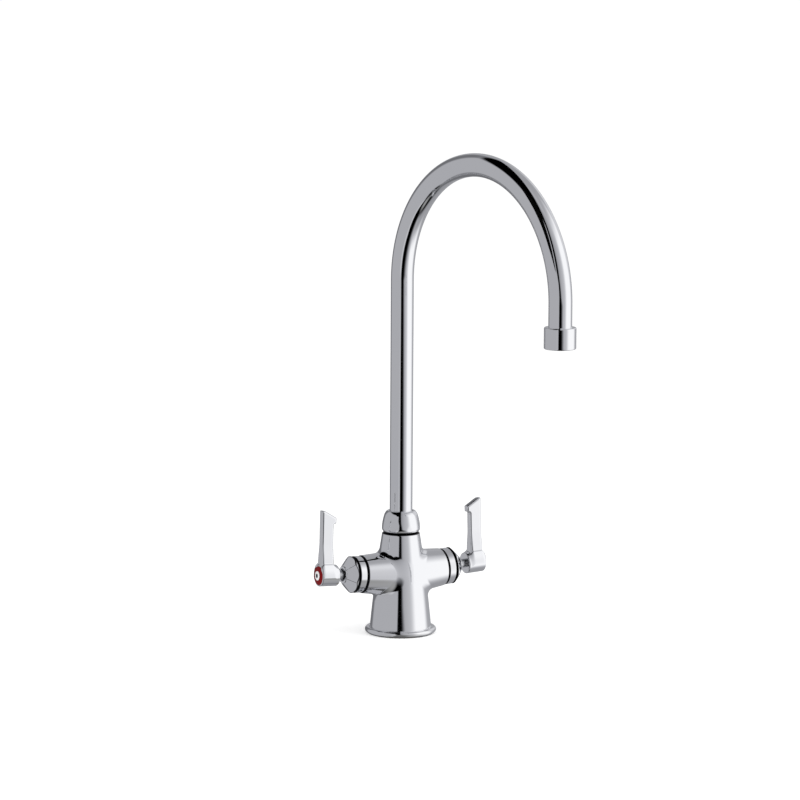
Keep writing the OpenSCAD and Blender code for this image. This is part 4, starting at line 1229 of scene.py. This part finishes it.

# %% [markdown]
# Two things stand too near to be painted on the dome, because the spout's arch sees them
# from above and the body from below. A black card hangs at the front left, higher than the
# arch, and a pale glowing patch paints the table's reflection in the undersides of the arms.

# %% The near card and the table
CARD_DISTANCE, CARD_TOP = 0.6, 1.3
CARD_FOOT = [(-8, 0.41), (-14, 0.42), (-31, 0.5), (-38, 0.64), (-47, 0.82), (-54, 0.98), (-60, 1.15)]
TABLE_DISTANCE, TABLE_R, TABLE_EDGE, TABLE_LEVEL = 0.08, 0.08, 0.035, 0.31
TABLE_TURN, TABLE_HEIGHT = 12, 0.0003


def toward(turn, distance, z):
    """A point in a direction given in degrees from the camera's side."""
    angle = math.radians(turn) - CAMERA_TURN
    return (distance*math.sin(angle), -distance*math.cos(angle), z)


card_vertices = []
for turn, foot_z in CARD_FOOT:
    card_vertices.append(toward(turn, CARD_DISTANCE, foot_z))
    card_vertices.append(toward(turn, CARD_DISTANCE, CARD_TOP))
card_faces = [(2*k, 2*k + 1, 2*k + 3, 2*k + 2) for k in range(len(CARD_FOOT) - 1)]
card_paint = Paint("black_card")
weave = card_paint.noise(scale=40)
card_paint.set(Base_Color=card_paint.mix(grey(0), grey(0.004), weave), Roughness=1.0,
               Specular_IOR_Level=0.0)
only_in_mirrors(staged("black_card", card_vertices, card_faces, card_paint.material))

# A glowing grey patch that fades at its edge: a painted reflection of the near table, seen only in
# mirrors.
table_glow_paint = Paint("glowing_table_patch")
from_centre = table_glow_paint.length(table_glow_paint.place())
table_glow_paint.set(Base_Color=(0, 0, 0, 1), Specular_IOR_Level=0.0, Emission_Strength=1.0,
                Emission_Color=grey(TABLE_LEVEL),
                Alpha=1 - table_glow_paint.step(from_centre, TABLE_R - TABLE_EDGE, TABLE_EDGE))
table = staged("glowing_table_patch", square(TABLE_R), [(0, 1, 2, 3)], table_glow_paint.material)
table.location = toward(TABLE_TURN, TABLE_DISTANCE, TABLE_HEIGHT)
only_in_mirrors(table)
print("a black card and the near table")

# %% [markdown]
# The dome lights nothing, so the floor, the rubber and the coloured rings need light of
# their own. The sun or one lamp would throw a hard shadow. Here a white world gives most of
# the light, and two wide lamps beside the camera give the foot its faint shadow.

# %% World and lamps
LAMPS = [("key", (0.9, -1.1, 1.5), 1.2, 9.0), ("fill", (-1.3, -0.7, 1.2), 1.4, 6.0)]
TARGET = Vector((0, -0.05, 0.15))
for name, spot_at, size, power in LAMPS:
    light = bpy.data.lights.new(name, "AREA")
    light.size = size
    light.energy = power
    lamp = bpy.data.objects.new(name, light)
    lamp.location = spot_at
    lamp.rotation_euler = (TARGET - Vector(spot_at)).to_track_quat("-Z", "Y").to_euler()
    lamp.visible_glossy = False
    bpy.context.scene.collection.objects.link(lamp)

DAYLIGHT = 0.75
world = bpy.data.worlds.new("studio")
bpy.context.scene.world = world
world.use_nodes = True
sky = Tree(world.node_tree)
background = sky.tree.nodes["Background"]
background.inputs["Color"].default_value = grey(1)
paths = sky.node("ShaderNodeLightPath")
seen = sky.out(paths, "Is Camera Ray") + sky.out(paths, "Is Glossy Ray")
seen = seen + sky.out(paths, "Is Transmission Ray")
connect(sky.tree, DAYLIGHT + (1 - DAYLIGHT)*seen, background.inputs["Strength"])
bpy.context.scene.view_settings.view_transform = "Standard"
print("world light", DAYLIGHT, "and white behind the object")
